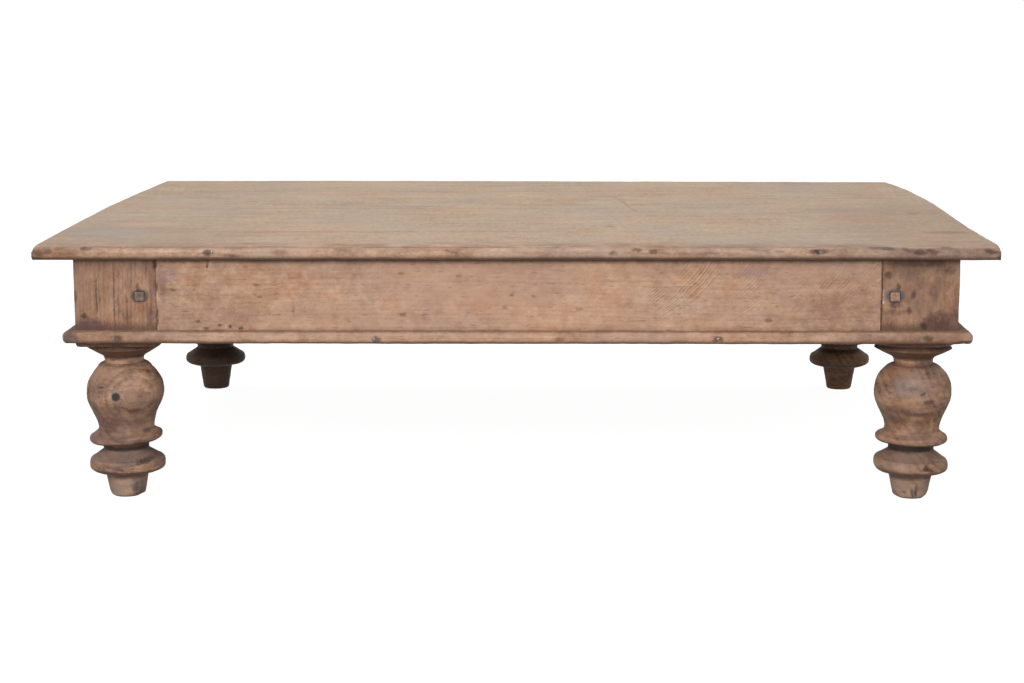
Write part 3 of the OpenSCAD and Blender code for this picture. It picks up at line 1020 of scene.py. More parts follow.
# %% Drive the nails and the screws
for side in SIDES:
    drive(nail, "moulding_nails_" + side, nail_heads[side], OUTWARDS[side])
drive(nail, "edge_nails", edge_heads, OUTWARDS["front"])
DOWN = Vector((0, 0, -1))
for name in ("batten_screws", "batten_end_screws"):
    drive(screw, name, heads_of(name, DOWN), DOWN)
bpy.data.objects.remove(nail)
bpy.data.objects.remove(screw)

# %% [markdown]
# ## Wood
# Teak is mixed as it grows, as one solid block that every face cuts through. Growth rings lie
# round a pith, fibres and pores run along it, and years of sun, hands and damp have left a
# mottled skin. Each of these is a node group, so every piece can be cut from its own place in
# the log. The nodes are laid with a few helpers, which set a plain value and link a socket.

# %% Helpers that lay nodes
def colour_of(red, green, blue):
    """A colour given from 0 to 255, in the linear light that shaders use."""

    def linear(value):
        value /= 255
        return value / 12.92 if value <= 0.04045 else ((value + 0.055) / 1.055) ** 2.4

    return (linear(red), linear(green), linear(blue), 1.0)


def node(tree, kind, inputs=None, **settings):
    """Adds a node, with its settings, and sets or links its inputs."""
    made = tree.nodes.new(kind)
    for name, value in settings.items():
        setattr(made, name, value)
    for name, value in (inputs or {}).items():
        socket = made.inputs[name]
        if isinstance(value, bpy.types.NodeSocket):
            tree.links.new(value, socket)
        else:
            socket.default_value = value
    return made


def maths(tree, operation, *values):
    """A Math node of one operation."""
    return node(tree, "ShaderNodeMath", dict(enumerate(values)), operation=operation).outputs[0]


def vector_maths(tree, operation, *values, output="Vector"):
    """A Vector Math node of one operation."""
    inputs = dict(enumerate(values))
    return node(tree, "ShaderNodeVectorMath", inputs, operation=operation).outputs[output]


def ramp(tree, value, low, high, to_low=0.0, to_high=1.0):
    """A soft step from one value to another."""
    inputs = {0: value, 1: low, 2: high, 3: to_low, 4: to_high}
    return node(tree, "ShaderNodeMapRange", inputs, interpolation_type="SMOOTHSTEP").outputs[0]


def noise_of(tree, place, scale, detail=3.0, roughness=0.5):
    """A noise texture at a place."""
    inputs = {"Vector": place, "Scale": scale, "Detail": detail, "Roughness": roughness}
    return node(tree, "ShaderNodeTexNoise", inputs)


def blend(tree, factor, first, second, kind="MIX"):
    """One colour laid over another."""
    inputs = {0: factor, 6: first, 7: second}
    return node(tree, "ShaderNodeMix", inputs, data_type="RGBA", blend_type=kind).outputs[2]


def split(tree, vector):
    """The X, Y and Z of a place or a direction."""
    return node(tree, "ShaderNodeSeparateXYZ", {0: vector}).outputs


def drawn_along(tree, place, share):
    """A place squeezed along the grain. A share under 1 draws out what is laid there."""
    drawn = node(tree, "ShaderNodeCombineXYZ", {0: share, 1: 1.0, 2: 1.0}).outputs[0]
    return vector_maths(tree, "MULTIPLY", place, drawn)


def new_group(name, vectors, values, results):
    """An empty node group with its two ends. Vectors and results are names, values have numbers."""
    group = bpy.data.node_groups.new(name, "ShaderNodeTree")
    for label in vectors:
        group.interface.new_socket(label, in_out="INPUT", socket_type="NodeSocketVector")
    for label, default in values.items():
        socket = group.interface.new_socket(label, in_out="INPUT", socket_type="NodeSocketFloat")
        socket.default_value = default
    for label in results:
        group.interface.new_socket(label, in_out="OUTPUT", socket_type="NodeSocketFloat")
    starts = group.nodes.new("NodeGroupInput").outputs
    ends = group.nodes.new("NodeGroupOutput").inputs
    print("node group:", name, "gives", ", ".join(results))
    return group, starts, ends


def lay(tree, group, inputs):
    """Adds a group to a node tree, sets or links its inputs, and gives its outputs."""
    return node(tree, "ShaderNodeGroup", inputs, node_tree=group).outputs


# %% [markdown]
# A year's ring darkens slowly towards its late wood and then stops at once. Its distance from
# the pith, counted in years, gives the ring from its fractional part. Noise bends the rings.

# %% Group of growth rings
RING_STRETCH = (0.22, 1, 1)
LATE_WOOD = (0.25, 0.9)
YEAR_END = (0.92, 1.0, 1.0, 0.0)
WEAKEST_RING = 0.3

rings_group, starts, ends = new_group(
    "growth rings", ["Place", "Pith"], {"Spacing": 0.006, "Waver": 0.01}, ["Rings"]
)
tree = rings_group
bent = vector_maths(tree, "MULTIPLY", starts["Place"], RING_STRETCH)
bent = noise_of(tree, bent, scale=9, detail=3)
bent = vector_maths(tree, "SUBTRACT", bent.outputs["Color"], (0.5, 0.5, 0.5))
bent = node(tree, "ShaderNodeVectorMath", {0: bent, "Scale": starts["Waver"]}, operation="SCALE")
grown = vector_maths(tree, "ADD", starts["Place"], bent.outputs[0])
grown = vector_maths(tree, "SUBTRACT", grown, starts["Pith"])
grown = vector_maths(tree, "MULTIPLY", grown, (0, 1, 1))
years = maths(tree, "DIVIDE", vector_maths(tree, "LENGTH", grown, output="Value"), starts["Spacing"])
part = maths(tree, "FRACT", years)
year = node(tree, "ShaderNodeTexWhiteNoise", {"W": maths(tree, "FLOOR", years)}, noise_dimensions="1D")
strength = maths(tree, "MULTIPLY_ADD", year.outputs["Value"], 1 - WEAKEST_RING, WEAKEST_RING)
late = maths(tree, "MULTIPLY", ramp(tree, part, *LATE_WOOD), ramp(tree, part, *YEAR_END))
tree.links.new(maths(tree, "MULTIPLY", late, strength), ends["Rings"])

# %% [markdown]
# Fibres are noise drawn out along the grain. Pores are the few darkest places of a finer one.
# The mottled skin is nearly even in all directions and rough down to its finest detail.

# %% Group of fibres, streaks and pores
# How far each is squeezed along the grain, and the scale, detail and roughness of its noise.
FIBRE_NOISES = {"Fibre": (0.12, 420, 3, 0.7), "Streak": (0.07, 60, 5, 0.7), "Pores": (0.16, 420, 2, 0.5)}
PORES_ONLY = (0.64, 0.72)

fibre_group, starts, ends = new_group("fibres", ["Place"], {}, ["Fibre", "Streak", "Pores"])
tree = fibre_group
for label, (share, *noise) in FIBRE_NOISES.items():
    place = vector_maths(tree, "MULTIPLY", starts["Place"], (share, 1, 1))
    value = noise_of(tree, place, *noise).outputs["Fac"]
    if label == "Pores":
        value = ramp(tree, value, *PORES_ONLY)
    tree.links.new(value, ends[label])

# %% Group of the mottled skin
# The hue is read from another part of the noise than the tone, so that the two don't follow
# each other.
HUE_AWAY = (3.1, 1.7, 0.4)

mottle_group, starts, ends = new_group(
    "mottled skin", ["Place"], {"Scale": 40.0, "Stretch": 0.6, "Hue size": 0.04}, ["Tone", "Hue"]
)
tree = mottle_group
place = drawn_along(tree, starts["Place"], starts["Stretch"])
tone = noise_of(tree, place, starts["Scale"], detail=6, roughness=0.85)
away = vector_maths(tree, "ADD", starts["Place"], HUE_AWAY)
hue = noise_of(tree, away, maths(tree, "DIVIDE", 1.0, starts["Hue size"]), detail=5, roughness=0.7)
tree.links.new(tone.outputs["Fac"], ends["Tone"])
tree.links.new(hue.outputs["Fac"], ends["Hue"])

# %% [markdown]
# Larger patches have weathered to grey, kept a warm stain or gathered dirt. Stains, knots,
# cracks and cuts with a place of their own are blots: soft ellipsoids at a point in the wood.
# A circular saw left bowed lines on the front apron, all of the radius of its blade.

# %% Group of weathered patches
# Each kind of patch starts and is complete at these values of its own noise.
PATCH_EDGES = {"Grey": (0.4, 0.7), "Warm": (0.4, 0.7), "Dark": (0.54, 0.74)}

patch_group, starts, ends = new_group(
    "patches", ["Place"], {"Size": 0.1, "Stretch": 0.3}, ["Grey", "Warm", "Dark"]
)
tree = patch_group
place = drawn_along(tree, starts["Place"], starts["Stretch"])
clouds = noise_of(tree, place, maths(tree, "DIVIDE", 1.0, starts["Size"]), detail=4, roughness=0.6)
clouds = node(tree, "ShaderNodeSeparateColor", {0: clouds.outputs["Color"]}).outputs
for cloud, (label, edges) in zip(clouds, PATCH_EDGES.items()):
    tree.links.new(ramp(tree, cloud, *edges), ends[label])

# %% Group of a blot
blot_group, starts, ends = new_group(
    "blot", ["Place", "Centre", "Turn", "Reach"], {"Softness": 0.6}, ["Mask"]
)
tree = blot_group
inputs = {
    "Vector": starts["Place"],
    "Location": starts["Centre"],
    "Rotation": starts["Turn"],
    "Scale": starts["Reach"],
}
seen = node(tree, "ShaderNodeMapping", inputs, vector_type="TEXTURE").outputs[0]
away = vector_maths(tree, "LENGTH", seen, output="Value")
inner = maths(tree, "SUBTRACT", 1.0, starts["Softness"])
tree.links.new(ramp(tree, away, inner, 1.0, 1.0, 0.0), ends["Mask"])

# %% Group of saw marks
SAW_JITTER = 2.5
SAW_PATCHES = (0.42, 0.6)

saw_group, starts, ends = new_group(
    "saw marks", ["Place"], {"Blade radius": 0.265, "Blade height": 0.531, "Step": 0.006}, ["Marks"]
)
tree = saw_group
sides = split(tree, starts["Place"])
drop = maths(tree, "SUBTRACT", starts["Blade height"], sides[2])
square = maths(tree, "MULTIPLY", starts["Blade radius"], starts["Blade radius"])
bow = maths(tree, "SQRT", maths(tree, "SUBTRACT", square, maths(tree, "MULTIPLY", drop, drop)))
lines = maths(tree, "DIVIDE", maths(tree, "SUBTRACT", sides[0], bow), starts["Step"])
jitter = noise_of(tree, starts["Place"], scale=25, detail=3).outputs["Fac"]
lines = maths(tree, "MULTIPLY_ADD", jitter, SAW_JITTER, lines)
wave = maths(tree, "SINE", maths(tree, "MULTIPLY", lines, 2 * math.pi))
line = node(tree, "ShaderNodeTexWhiteNoise", {"W": maths(tree, "ROUND", lines)}, noise_dimensions="1D")
patchy = noise_of(tree, starts["Place"], scale=22, detail=3).outputs["Fac"]
patchy = ramp(tree, patchy, *SAW_PATCHES)
marks = maths(tree, "MULTIPLY", maths(tree, "MULTIPLY", wave, line.outputs["Value"]), patchy)
tree.links.new(marks, ends["Marks"])

# %% [markdown]
# A finish first adds up how deep the colour of the wood is at a point, from its rings, streaks
# and fibres, and looks that up between a pale and a deep colour. A look says how strong each part
# is and gives its sizes in millimetres. On the top there are broad clouds of tone as well, and on
# a turning there are smears that run round it.

# %% Lay the parts of the wood
GRAIN_TURN = {"X": (0, 0, 0), "Y": (0, 0, -math.pi / 2), "Z": (0, math.pi / 2, 0)}
WAVER = 0.03
PATCH_STRETCH = 0.35


def wood_parts(tree, along, pith, look):
    """The place of a point on its piece and in its log, and the parts of the wood there."""
    place = node(tree, "ShaderNodeTexCoord").outputs["Object"]
    turned = {"Vector": place, "Rotation": GRAIN_TURN[along]}
    grain = node(tree, "ShaderNodeMapping", turned).outputs[0]
    rings = {"Pith": mm(*pith), "Spacing": look["spacing"] * MM, "Waver": look.get("waver", WAVER)}
    skin = {"Scale": look["skin scale"], "Stretch": look["skin stretch"]}
    skin["Hue size"] = look["hue size"] * MM
    patch = {"Size": look["patch"] * MM, "Stretch": look.get("patch stretch", PATCH_STRETCH)}
    return {
        "place": place,
        "grain": grain,
        "rings": lay(tree, rings_group, {"Place": grain, **rings})["Rings"],
        "fibres": lay(tree, fibre_group, {"Place": grain}),
        "skin": lay(tree, mottle_group, {"Place": grain, **skin}),
        "patches": lay(tree, patch_group, {"Place": grain, **patch}),
    }


# %% Add up the tone of the wood
MEAN_RING = 0.15
CLOUDS = {"scale": 9, "detail": 4, "roughness": 0.65}
SMEARS = {"scale": 50, "detail": 6, "roughness": 0.75}
SMEAR_STRETCH = (0.3, 0.3, 1)


def sway(tree, noise, weight, base):
    """A base value that a noise sways to both sides, by a weight."""
    return maths(tree, "MULTIPLY_ADD", maths(tree, "SUBTRACT", noise, 0.5), weight, base)


def wood_tone(tree, wood, look):
    """The tone of the wood under its skin: 0 where it is pale, 1 where it is deep."""
    middle = 0.5 - MEAN_RING * look["rings"]
    tone = maths(tree, "MULTIPLY_ADD", wood["rings"], look["rings"], middle)
    parts = [(wood["fibres"]["Streak"], look["streaks"]), (wood["fibres"]["Fibre"], look["fibres"])]
    if "clouds" in look:
        parts.append((noise_of(tree, wood["grain"], **CLOUDS).outputs["Fac"], look["clouds"]))
    if "smears" in look:
        lathe = vector_maths(tree, "MULTIPLY", wood["place"], SMEAR_STRETCH)
        parts.append((noise_of(tree, lathe, **SMEARS).outputs["Fac"], look["smears"]))
    for noise, weight in parts:
        tone = sway(tree, noise, weight, tone)
    return tone


# %% [markdown]
# The sky fades what faces up, from a little behind the front edge. Warm and cool tints, patches
# and dirt go over the colour, and what faces down is darkened as painted shade. Creases are
# bands of painted shade and of dirt, such as the shadow under the top: each is given by its
# height, half width and strength.

# %% Weather the colour
# Dirt's colour, which also paints shade on undersides and in creases.
DIRT_AND_SHADE = colour_of(70, 50, 38)
WARM_TINT = colour_of(255, 226, 196)
COOL_TINT = colour_of(222, 230, 246)
WARM_HUES = (0.48, 0.7)
COOL_HUES = (0.52, 0.3)
FACES_UP = (0.82, 0.985)
FACES_DOWN = (-0.15, -0.75)
SKY_BEHIND = (-0.505, -0.47)
SKY_RAGGED = 0.06
CREASE_RAGGED = -6 * MM


def fade(tree, wood, look, tone, up, colour):
    """Lays the colours that the sky has left over what faces up."""
    skin = wood["skin"]["Tone"]
    faded = blend(tree, sway(tree, skin, look["skin"], tone), *look["sky"])
    behind = sway(tree, skin, SKY_RAGGED, split(tree, wood["place"])[1])
    faced = maths(tree, "MULTIPLY", ramp(tree, up, *FACES_UP), ramp(tree, behind, *SKY_BEHIND))
    return blend(tree, faced, colour, faded)


def weather(tree, wood, look, up, colour):
    """Lays tints, patches, pores, dirt and painted shade over a colour."""
    skin, patches = wood["skin"], wood["patches"]
    for hues, tint in ((WARM_HUES, WARM_TINT), (COOL_HUES, COOL_TINT)):
        tinted = ramp(tree, skin["Hue"], *hues, 0.0, look["hue"])
        colour = blend(tree, tinted, colour, tint, "MULTIPLY")
    for part, strength, over in (
        (patches["Warm"], look["warm"], look["stain"]),
        (patches["Grey"], look["grey"], look["faded"]),
        (patches["Dark"], look["dirt"], DIRT_AND_SHADE),
        (wood["fibres"]["Pores"], look["pores"], DIRT_AND_SHADE),
        # Painted shade: what faces down is darkened.
        (ramp(tree, up, *FACES_DOWN), look["under"], DIRT_AND_SHADE),
    ):
        colour = blend(tree, maths(tree, "MULTIPLY", part, strength), colour, over)
    height = split(tree, wood["place"])[2]
    # Painted shade, with some dirt at joints: dark bands at given heights.
    for level, width, strength in look["creases"]:
        off = maths(tree, "ABSOLUTE", maths(tree, "SUBTRACT", height, level * MM))
        off = sway(tree, skin["Tone"], CREASE_RAGGED, off)
        colour = blend(tree, ramp(tree, off, 0.0, width * MM, strength, 0.0), colour, DIRT_AND_SHADE)
    return colour


# %% [markdown]
# Marks are blots with a place of their own. Noise pushes their outlines about, and most of them
# are worn through where the skin is pale. A crisp mark is a knot, a cut or a shadow in a groove,
# whose outline is cleaner, and which isn't worn.

# %% Draw the marks
MARK_REACH = 1.25
MARK_STRENGTH = 1.4
MARK_RAGGED = 8 * MM
CRISP_RAGGED = 0.5
MARK_SOFTNESS = 0.65
CRISP_SOFTNESS = 0.45
MARK_WORN = (0.32, 0.6, 0.35, 1.0)
LEVEL = (0, 0, 0)


def draw_marks(tree, place, worn, marks, colour):
    """Lays marks over a colour, in the order of their list."""
    push = noise_of(tree, place, scale=160, detail=4, roughness=0.7).outputs["Color"]
    push = vector_maths(tree, "SUBTRACT", push, (0.5, 0.5, 0.5))
    push = vector_maths(tree, "MULTIPLY", push, [MARK_RAGGED] * 3)
    ragged = vector_maths(tree, "ADD", place, push)
    cleaner = vector_maths(tree, "MULTIPLY_ADD", push, [CRISP_RAGGED] * 3, place)
    worn = ramp(tree, worn, *MARK_WORN)
    for centre, reach, tone, strength, *how in marks:
        crisp = "crisp" in how
        turn = next((turn for turn in how if turn != "crisp"), LEVEL)
        blot = {
            "Place": cleaner if crisp else ragged,
            "Centre": mm(*centre),
            "Turn": [math.radians(v) for v in turn],
            "Reach": [v * MARK_REACH * MM for v in reach],
            "Softness": CRISP_SOFTNESS if crisp else MARK_SOFTNESS,
        }
        mask = lay(tree, blot_group, blot)["Mask"]
        if not crisp:
            mask = maths(tree, "MULTIPLY", mask, worn)
        mask = maths(tree, "MULTIPLY", mask, min(1.0, MARK_STRENGTH * strength))
        colour = blend(tree, mask, colour, colour_of(*tone))
    return colour


# %% [markdown]
# The finish joins these steps. Its gloss follows the skin, and its relief is bump, because pores
# and fibres are far too fine for a mesh. The top has a coarser skin at its edges than on its
# face. Where the saw has left arcs, they show from the middle of the apron to its right end.

# %% Mix a teak finish
EDGE_SKIN = {"Scale": 34, "Stretch": 0.6}
ROUGH_SPREAD = 0.3
GLOSS = 0.3
SKIN_RELIEF = 0.8
RELIEF_PARTS = {"Fibre": 0.5, "Pores": -0.5}
SAW_RELIEF = -0.3
RELIEF_DEPTH = 0.8 * MM


def mix_teak(name, along, pith, colours, look, marks=(), saw=None):
    """A teak material: its grain direction, pith, pale and deep colour, look, marks and saw arcs."""
    material = bpy.data.materials.new(name)
    material.use_nodes = True
    tree = material.node_tree
    shader = tree.nodes["Principled BSDF"]
    wood = wood_parts(tree, along, pith, look)
    skin = wood["skin"]["Tone"]
    tone = wood_tone(tree, wood, look)
    worn, weight = skin, look["skin"]
    if "edge skin" in look:
        worn = lay(tree, mottle_group, {"Place": wood["grain"], **EDGE_SKIN})["Tone"]
        weight = look["edge skin"]
    edge_tone = sway(tree, worn, weight, tone)
    height = maths(tree, "MULTIPLY", skin, SKIN_RELIEF)
    for label, weight in RELIEF_PARTS.items():
        height = maths(tree, "MULTIPLY_ADD", wood["fibres"][label], weight, height)
    if saw:
        arcs = lay(tree, saw_group, {"Place": wood["place"]})["Marks"]
        shown = ramp(tree, split(tree, wood["place"])[0], *saw["across"])
        arcs = maths(tree, "MULTIPLY", arcs, shown)
        edge_tone = maths(tree, "MULTIPLY_ADD", arcs, saw["strength"], edge_tone)
        height = maths(tree, "MULTIPLY_ADD", arcs, SAW_RELIEF, height)

    colour = blend(tree, edge_tone, *colours)
    up = split(tree, node(tree, "ShaderNodeNewGeometry").outputs["Normal"])[2]
    if "sky" in look:
        colour = fade(tree, wood, look, tone, up, colour)
    colour = weather(tree, wood, look, up, colour)
    if marks:
        colour = draw_marks(tree, wood["place"], worn, marks, colour)

    rough = maths(tree, "MULTIPLY_ADD", skin, ROUGH_SPREAD, look["rough"] - ROUGH_SPREAD / 2)
    relief = {"Height": height, "Strength": look["relief"], "Distance": RELIEF_DEPTH}
    relief = node(tree, "ShaderNodeBump", relief).outputs[0]
    for socket, value in (("Base Color", colour), ("Roughness", rough), ("Normal", relief)):
        tree.links.new(value, shader.inputs[socket])
    shader.inputs["Specular IOR Level"].default_value = GLOSS
    return material


# %% [markdown]
# Every kind of piece has its own look. The top is the palest and the smoothest, sanded by use
# and faded by light. The aprons are redder, the blocks and the legs darker and rougher. Spacing,
# hue size and patch are in millimetres, and so are the creases, bands of painted shade and dirt,
# each with its height, its half width and a strength. What faces down is darkened by painted
# shade. The rest are strengths, scales of noise and colours.

# %% Looks of the wood
TOP_LOOK = {
    "spacing": 8, "rings": 0.2, "streaks": 0.8, "fibres": 0.3, "skin": 1.6, "hue": 0.45,
    "skin scale": 55, "skin stretch": 3.0, "hue size": 160, "patch": 170, "patch stretch": 1.1,
    "sky": (colour_of(202, 176, 148), colour_of(145, 121, 99)), "edge skin": 3.2, "clouds": 0.7,
    "stain": colour_of(196, 160, 130), "warm": 0.35, "faded": colour_of(168, 154, 140), "grey": 0.45,
    # Painted shade: undersides darkened, and the creases darken the lower part of the top's edges.
    "dirt": 0.1, "pores": 0.3, "under": 0.6, "rough": 0.62, "relief": 0.3,
    "creases": [(389, 4, 0.2), (393.5, 6.5, 0.5)],
}
APRON_LOOK = {
    "spacing": 7, "rings": 0.15, "streaks": 0.7, "fibres": 0.35, "skin": 1.9, "hue": 0.5,
    "skin scale": 45, "skin stretch": 0.9, "hue size": 70, "patch": 80,
    "stain": colour_of(200, 154, 118), "warm": 0.4, "faded": colour_of(170, 138, 124), "grey": 0.4,
    # Painted shade on undersides and under the top's edge; at 277, dirt and shade at the moulding.
    "dirt": 0.08, "pores": 0.35, "under": 0.6, "rough": 0.7, "relief": 0.45,
    "creases": [(277, 1.6, 0.3), (277, 8, 0.2), (390, 36, 0.12), (390, 16, 0.4), (390, 10, 0.8)],
}
# The moulding's creases: dirt and shade at its joint, and painted shade along its lower edge.
STRIP_LOOK = APRON_LOOK | {"streaks": 1.2, "creases": [(277, 1.2, 0.3), (257, 5, 0.6)]}
BLOCK_LOOK = {
    "spacing": 6.5, "rings": 0.2, "streaks": 0.45, "fibres": 0.15, "skin": 1.9, "hue": 0.5,
    "skin scale": 34, "skin stretch": 0.5, "hue size": 35, "patch": 45,
    "stain": colour_of(172, 134, 100), "warm": 0.4, "faded": colour_of(116, 92, 86), "grey": 0.45,
    # Painted shade on undersides, under the top's edge and under the moulding; dirt and shade at 279.
    "dirt": 0.4, "pores": 0.3, "under": 0.7, "rough": 0.72, "relief": 0.5,
    "creases": [(279, 16, 0.7), (390, 30, 0.6), (390, 8, 0.4), (254, 12, 0.8)],
}
RIGHT_BLOCK_LOOK = BLOCK_LOOK | {
    "streaks": 0.3, "rings": 0.05, "skin": 1.8, "skin stretch": 0.8, "patch": 38, "grey": 0.3,
}
PEG_LOOK = RIGHT_BLOCK_LOOK | {
    "skin": 3.0, "skin scale": 110, "warm": 0.1, "grey": 0.1, "dirt": 0.3,
}
TURNED_LOOK = {
    "spacing": 11, "rings": 0.25, "waver": 0.008, "streaks": 0.3, "fibres": 0.15, "skin": 1.5,
    "smears": 2.3, "hue": 0.6,
    "skin scale": 40, "skin stretch": 1.0, "hue size": 40, "patch": 50,
    "stain": colour_of(182, 142, 112), "warm": 0.35, "faded": colour_of(124, 102, 98), "grey": 0.5,
    # Painted shade on undersides, in the grooves, under the disc, at the neck and under the block.
    "dirt": 0.3, "pores": 0.3, "under": 0.75, "rough": 0.7, "relief": 0.5,
    "creases": [(80, 8, 1.0), (216, 5, 0.35), (247, 14, 0.75), (36, 3, 0.5), (110, 3, 0.3)],
}
BACK_TURNED_LOOK = TURNED_LOOK | {"warm": 0.08, "grey": 0.08}
print("roughness of the top:", TOP_LOOK["rough"], "and of the turnings:", TURNED_LOOK["rough"])

# %% Colours of the wood
# Each pair is the pale and the deep colour of a piece.
TOP_COLOURS = colour_of(203, 166, 140), colour_of(126, 90, 69)
APRON_COLOURS = colour_of(213, 178, 151), colour_of(149, 109, 84)
STRIP_COLOURS = colour_of(214, 179, 154), colour_of(136, 100, 79)
BLOCK_COLOURS = colour_of(199, 157, 130), colour_of(89, 56, 41)
TURNED_COLOURS = colour_of(212, 170, 140), colour_of(98, 66, 53)
# The back legs' colours are darkened as painted shade, the left one's most.
BACK_LEFT_COLOURS = colour_of(81, 57, 40), colour_of(32, 19, 12)
BACK_RIGHT_COLOURS = colour_of(164, 128, 98), colour_of(74, 51, 38)
GREY_PEG = colour_of(158, 132, 116), colour_of(62, 52, 50)
PALE_PEG = colour_of(200, 162, 136), colour_of(118, 88, 72)
# The walls of the peg holes are painted dark, as painted shade.
HOLE_COLOURS = colour_of(120, 106, 102), colour_of(56, 46, 46)

# %% [markdown]
# The marks are listed by piece, in millimetres: centre, half size, colour and strength. A turn
# in degrees follows where a mark isn't level, and the word crisp where its outline is clean. A
# flat blot makes a line, so cracks and the painted shade in a groove are listed here too. Some
# marks are painted shade: darkened ends, the lower part of a ball, and the shade under a ring or
# a block. Later marks lie over earlier ones.

# %% Colours of the marks
SHADOW = (60, 42, 34)
BROWN = (120, 82, 58)
GREY = (140, 130, 124)
PURPLE = (150, 118, 116)
PLUM = (92, 64, 62)
RED = (176, 132, 104)
print("a shadow in linear light:", [round(v, 3) for v in colour_of(*SHADOW)])

# %% Marks of the top
TOP_MARKS = [
    # Painted shade: the two ends of the top are darkened.
    ((-640, -420, 410), (240, 260, 6), (150, 128, 108), 0.42),
    ((660, -250, 410), (170, 420, 6), (150, 122, 100), 0.42),
    ((-700, -387, 410), (34, 14, 4), GREY, 0.6),
    ((-682, -50, 410), (26, 10, 4), GREY, 0.5),
    ((-205, 47, 410), (85, 20, 4), GREY, 0.45),
    ((-233, -347, 410), (30, 12, 4), GREY, 0.5),
    ((-665, -346, 410), (80, 60, 4), (160, 150, 146), 0.35),
    ((-629, -233, 410), (60, 40, 4), (196, 160, 142), 0.4),
    ((-155, 17, 410), (380, 3, 4), BROWN, 0.4),
    ((-217, -338, 410), (390, 4, 4), BROWN, 0.55),
    ((0, 321, 410), (700, 3, 4), BROWN, 0.3),
    ((150, 221, 410), (24, 6, 4), BROWN, 0.25, (0, 0, 55)),
    ((172, 194, 410), (46, 5, 4), BROWN, 0.25, (0, 0, -75)),
    ((188, 80, 410), (72, 4, 4), BROWN, 0.3, (0, 0, -84)),
    ((200, -20, 410), (34, 4, 4), BROWN, 0.25, (0, 0, -80)),
    ((683, -70, 410), (14, 12, 4), BROWN, 0.6),
    ((152, -264, 410), (9, 7, 4), (120, 70, 56), 0.6),
    ((575, -70, 410), (48, 22, 4), RED, 0.5),
    ((537, 61, 410), (40, 22, 4), RED, 0.5),
    ((607, -207, 410), (50, 22, 4), RED, 0.5),
    ((692, -348, 410), (40, 20, 4), BROWN, 0.4),
    ((-320, 455, 410), (190, 60, 4), (198, 168, 138), 0.4),
    ((276, 450, 410), (150, 60, 4), (198, 168, 138), 0.4),
    ((-363, -540, 402), (14, 6, 7), BROWN, 0.4),
    ((-440, -540, 397), (14, 6, 3), SHADOW, 0.4),
    ((-475, -540, 402), (9, 6, 7), SHADOW, 0.8),
    ((467, -540, 404), (15, 6, 6), SHADOW, 0.7),
    ((-724, -539, 403), (6, 7, 4), (70, 58, 58), 0.5, "crisp"),
    ((-707, -530, 408), (8, 12, 4), (92, 82, 64), 0.4, "crisp"),
    ((-728, -530, 408), (7, 12, 4), (92, 82, 64), 0.4, "crisp"),
    ((-670, -530, 408), (5, 12, 4), (62, 46, 40), 0.55, "crisp"),
    ((-664, -531, 407), (9, 12, 3), (80, 58, 48), 0.4, "crisp"),
    ((-609, -528, 409), (10, 9, 4), SHADOW, 0.5),
    ((-727, -520, 408), (7, 14, 4), GREY, 0.7),
    ((60, -527, 409), (14, 8, 4), SHADOW, 0.6),
    ((151, -540, 401), (8, 6, 5), SHADOW, 0.5),
    ((186, -536, 407), (10, 8, 5), SHADOW, 0.6, (0, 12, 0)),
    ((212, -540, 403), (8, 6, 5), SHADOW, 0.5),
    ((562, -530, 408), (28, 12, 4), SHADOW, 0.6),
    ((572, -531, 407), (12, 10, 2.4), SHADOW, 0.4, (0, 6, 0), "crisp"),
    ((600, -535, 406), (8, 10, 3), SHADOW, 0.4, (0, 20, 0), "crisp"),
    ((630, -540, 403), (26, 8, 7), SHADOW, 0.8, (0, 4, 0)),
    ((622, -540, 401), (11, 8, 3), (74, 54, 54), 0.5, "crisp"),
    ((640, -540, 404), (10, 8, 3), (84, 60, 58), 0.5, (0, 8, 0), "crisp"),
    ((664, -527, 409), (11, 9, 4), SHADOW, 0.6),
    ((731, -538, 404), (14, 8, 6), SHADOW, 0.7),
    ((728, -538, 403), (6, 8, 3), (84, 62, 56), 0.5, "crisp"),
    ((235, -536, 410), (8, 8, 3), (96, 96, 70), 0.6),
    ((-745, -536, 398), (18, 20, 12), SHADOW, 0.6),
    ((-420, -526, 409), (300, 8, 4), BROWN, 0.45),
    ((-110, -526, 409), (150, 7, 4), BROWN, 0.6),
    ((320, -526, 409), (150, 7, 4), BROWN, 0.45),
    # Painted shade: the right end of the front edge, darkened.
    ((660, -538, 402), (110, 7, 14), PLUM, 0.4),
    ((300, -540, 400), (60, 6, 5), BROWN, 0.35),
    # Painted shade: the left end of the front edge, darkened.
    ((-690, -540, 400), (90, 8, 14), BROWN, 0.25),
]
print("marks of the top:", len(TOP_MARKS))

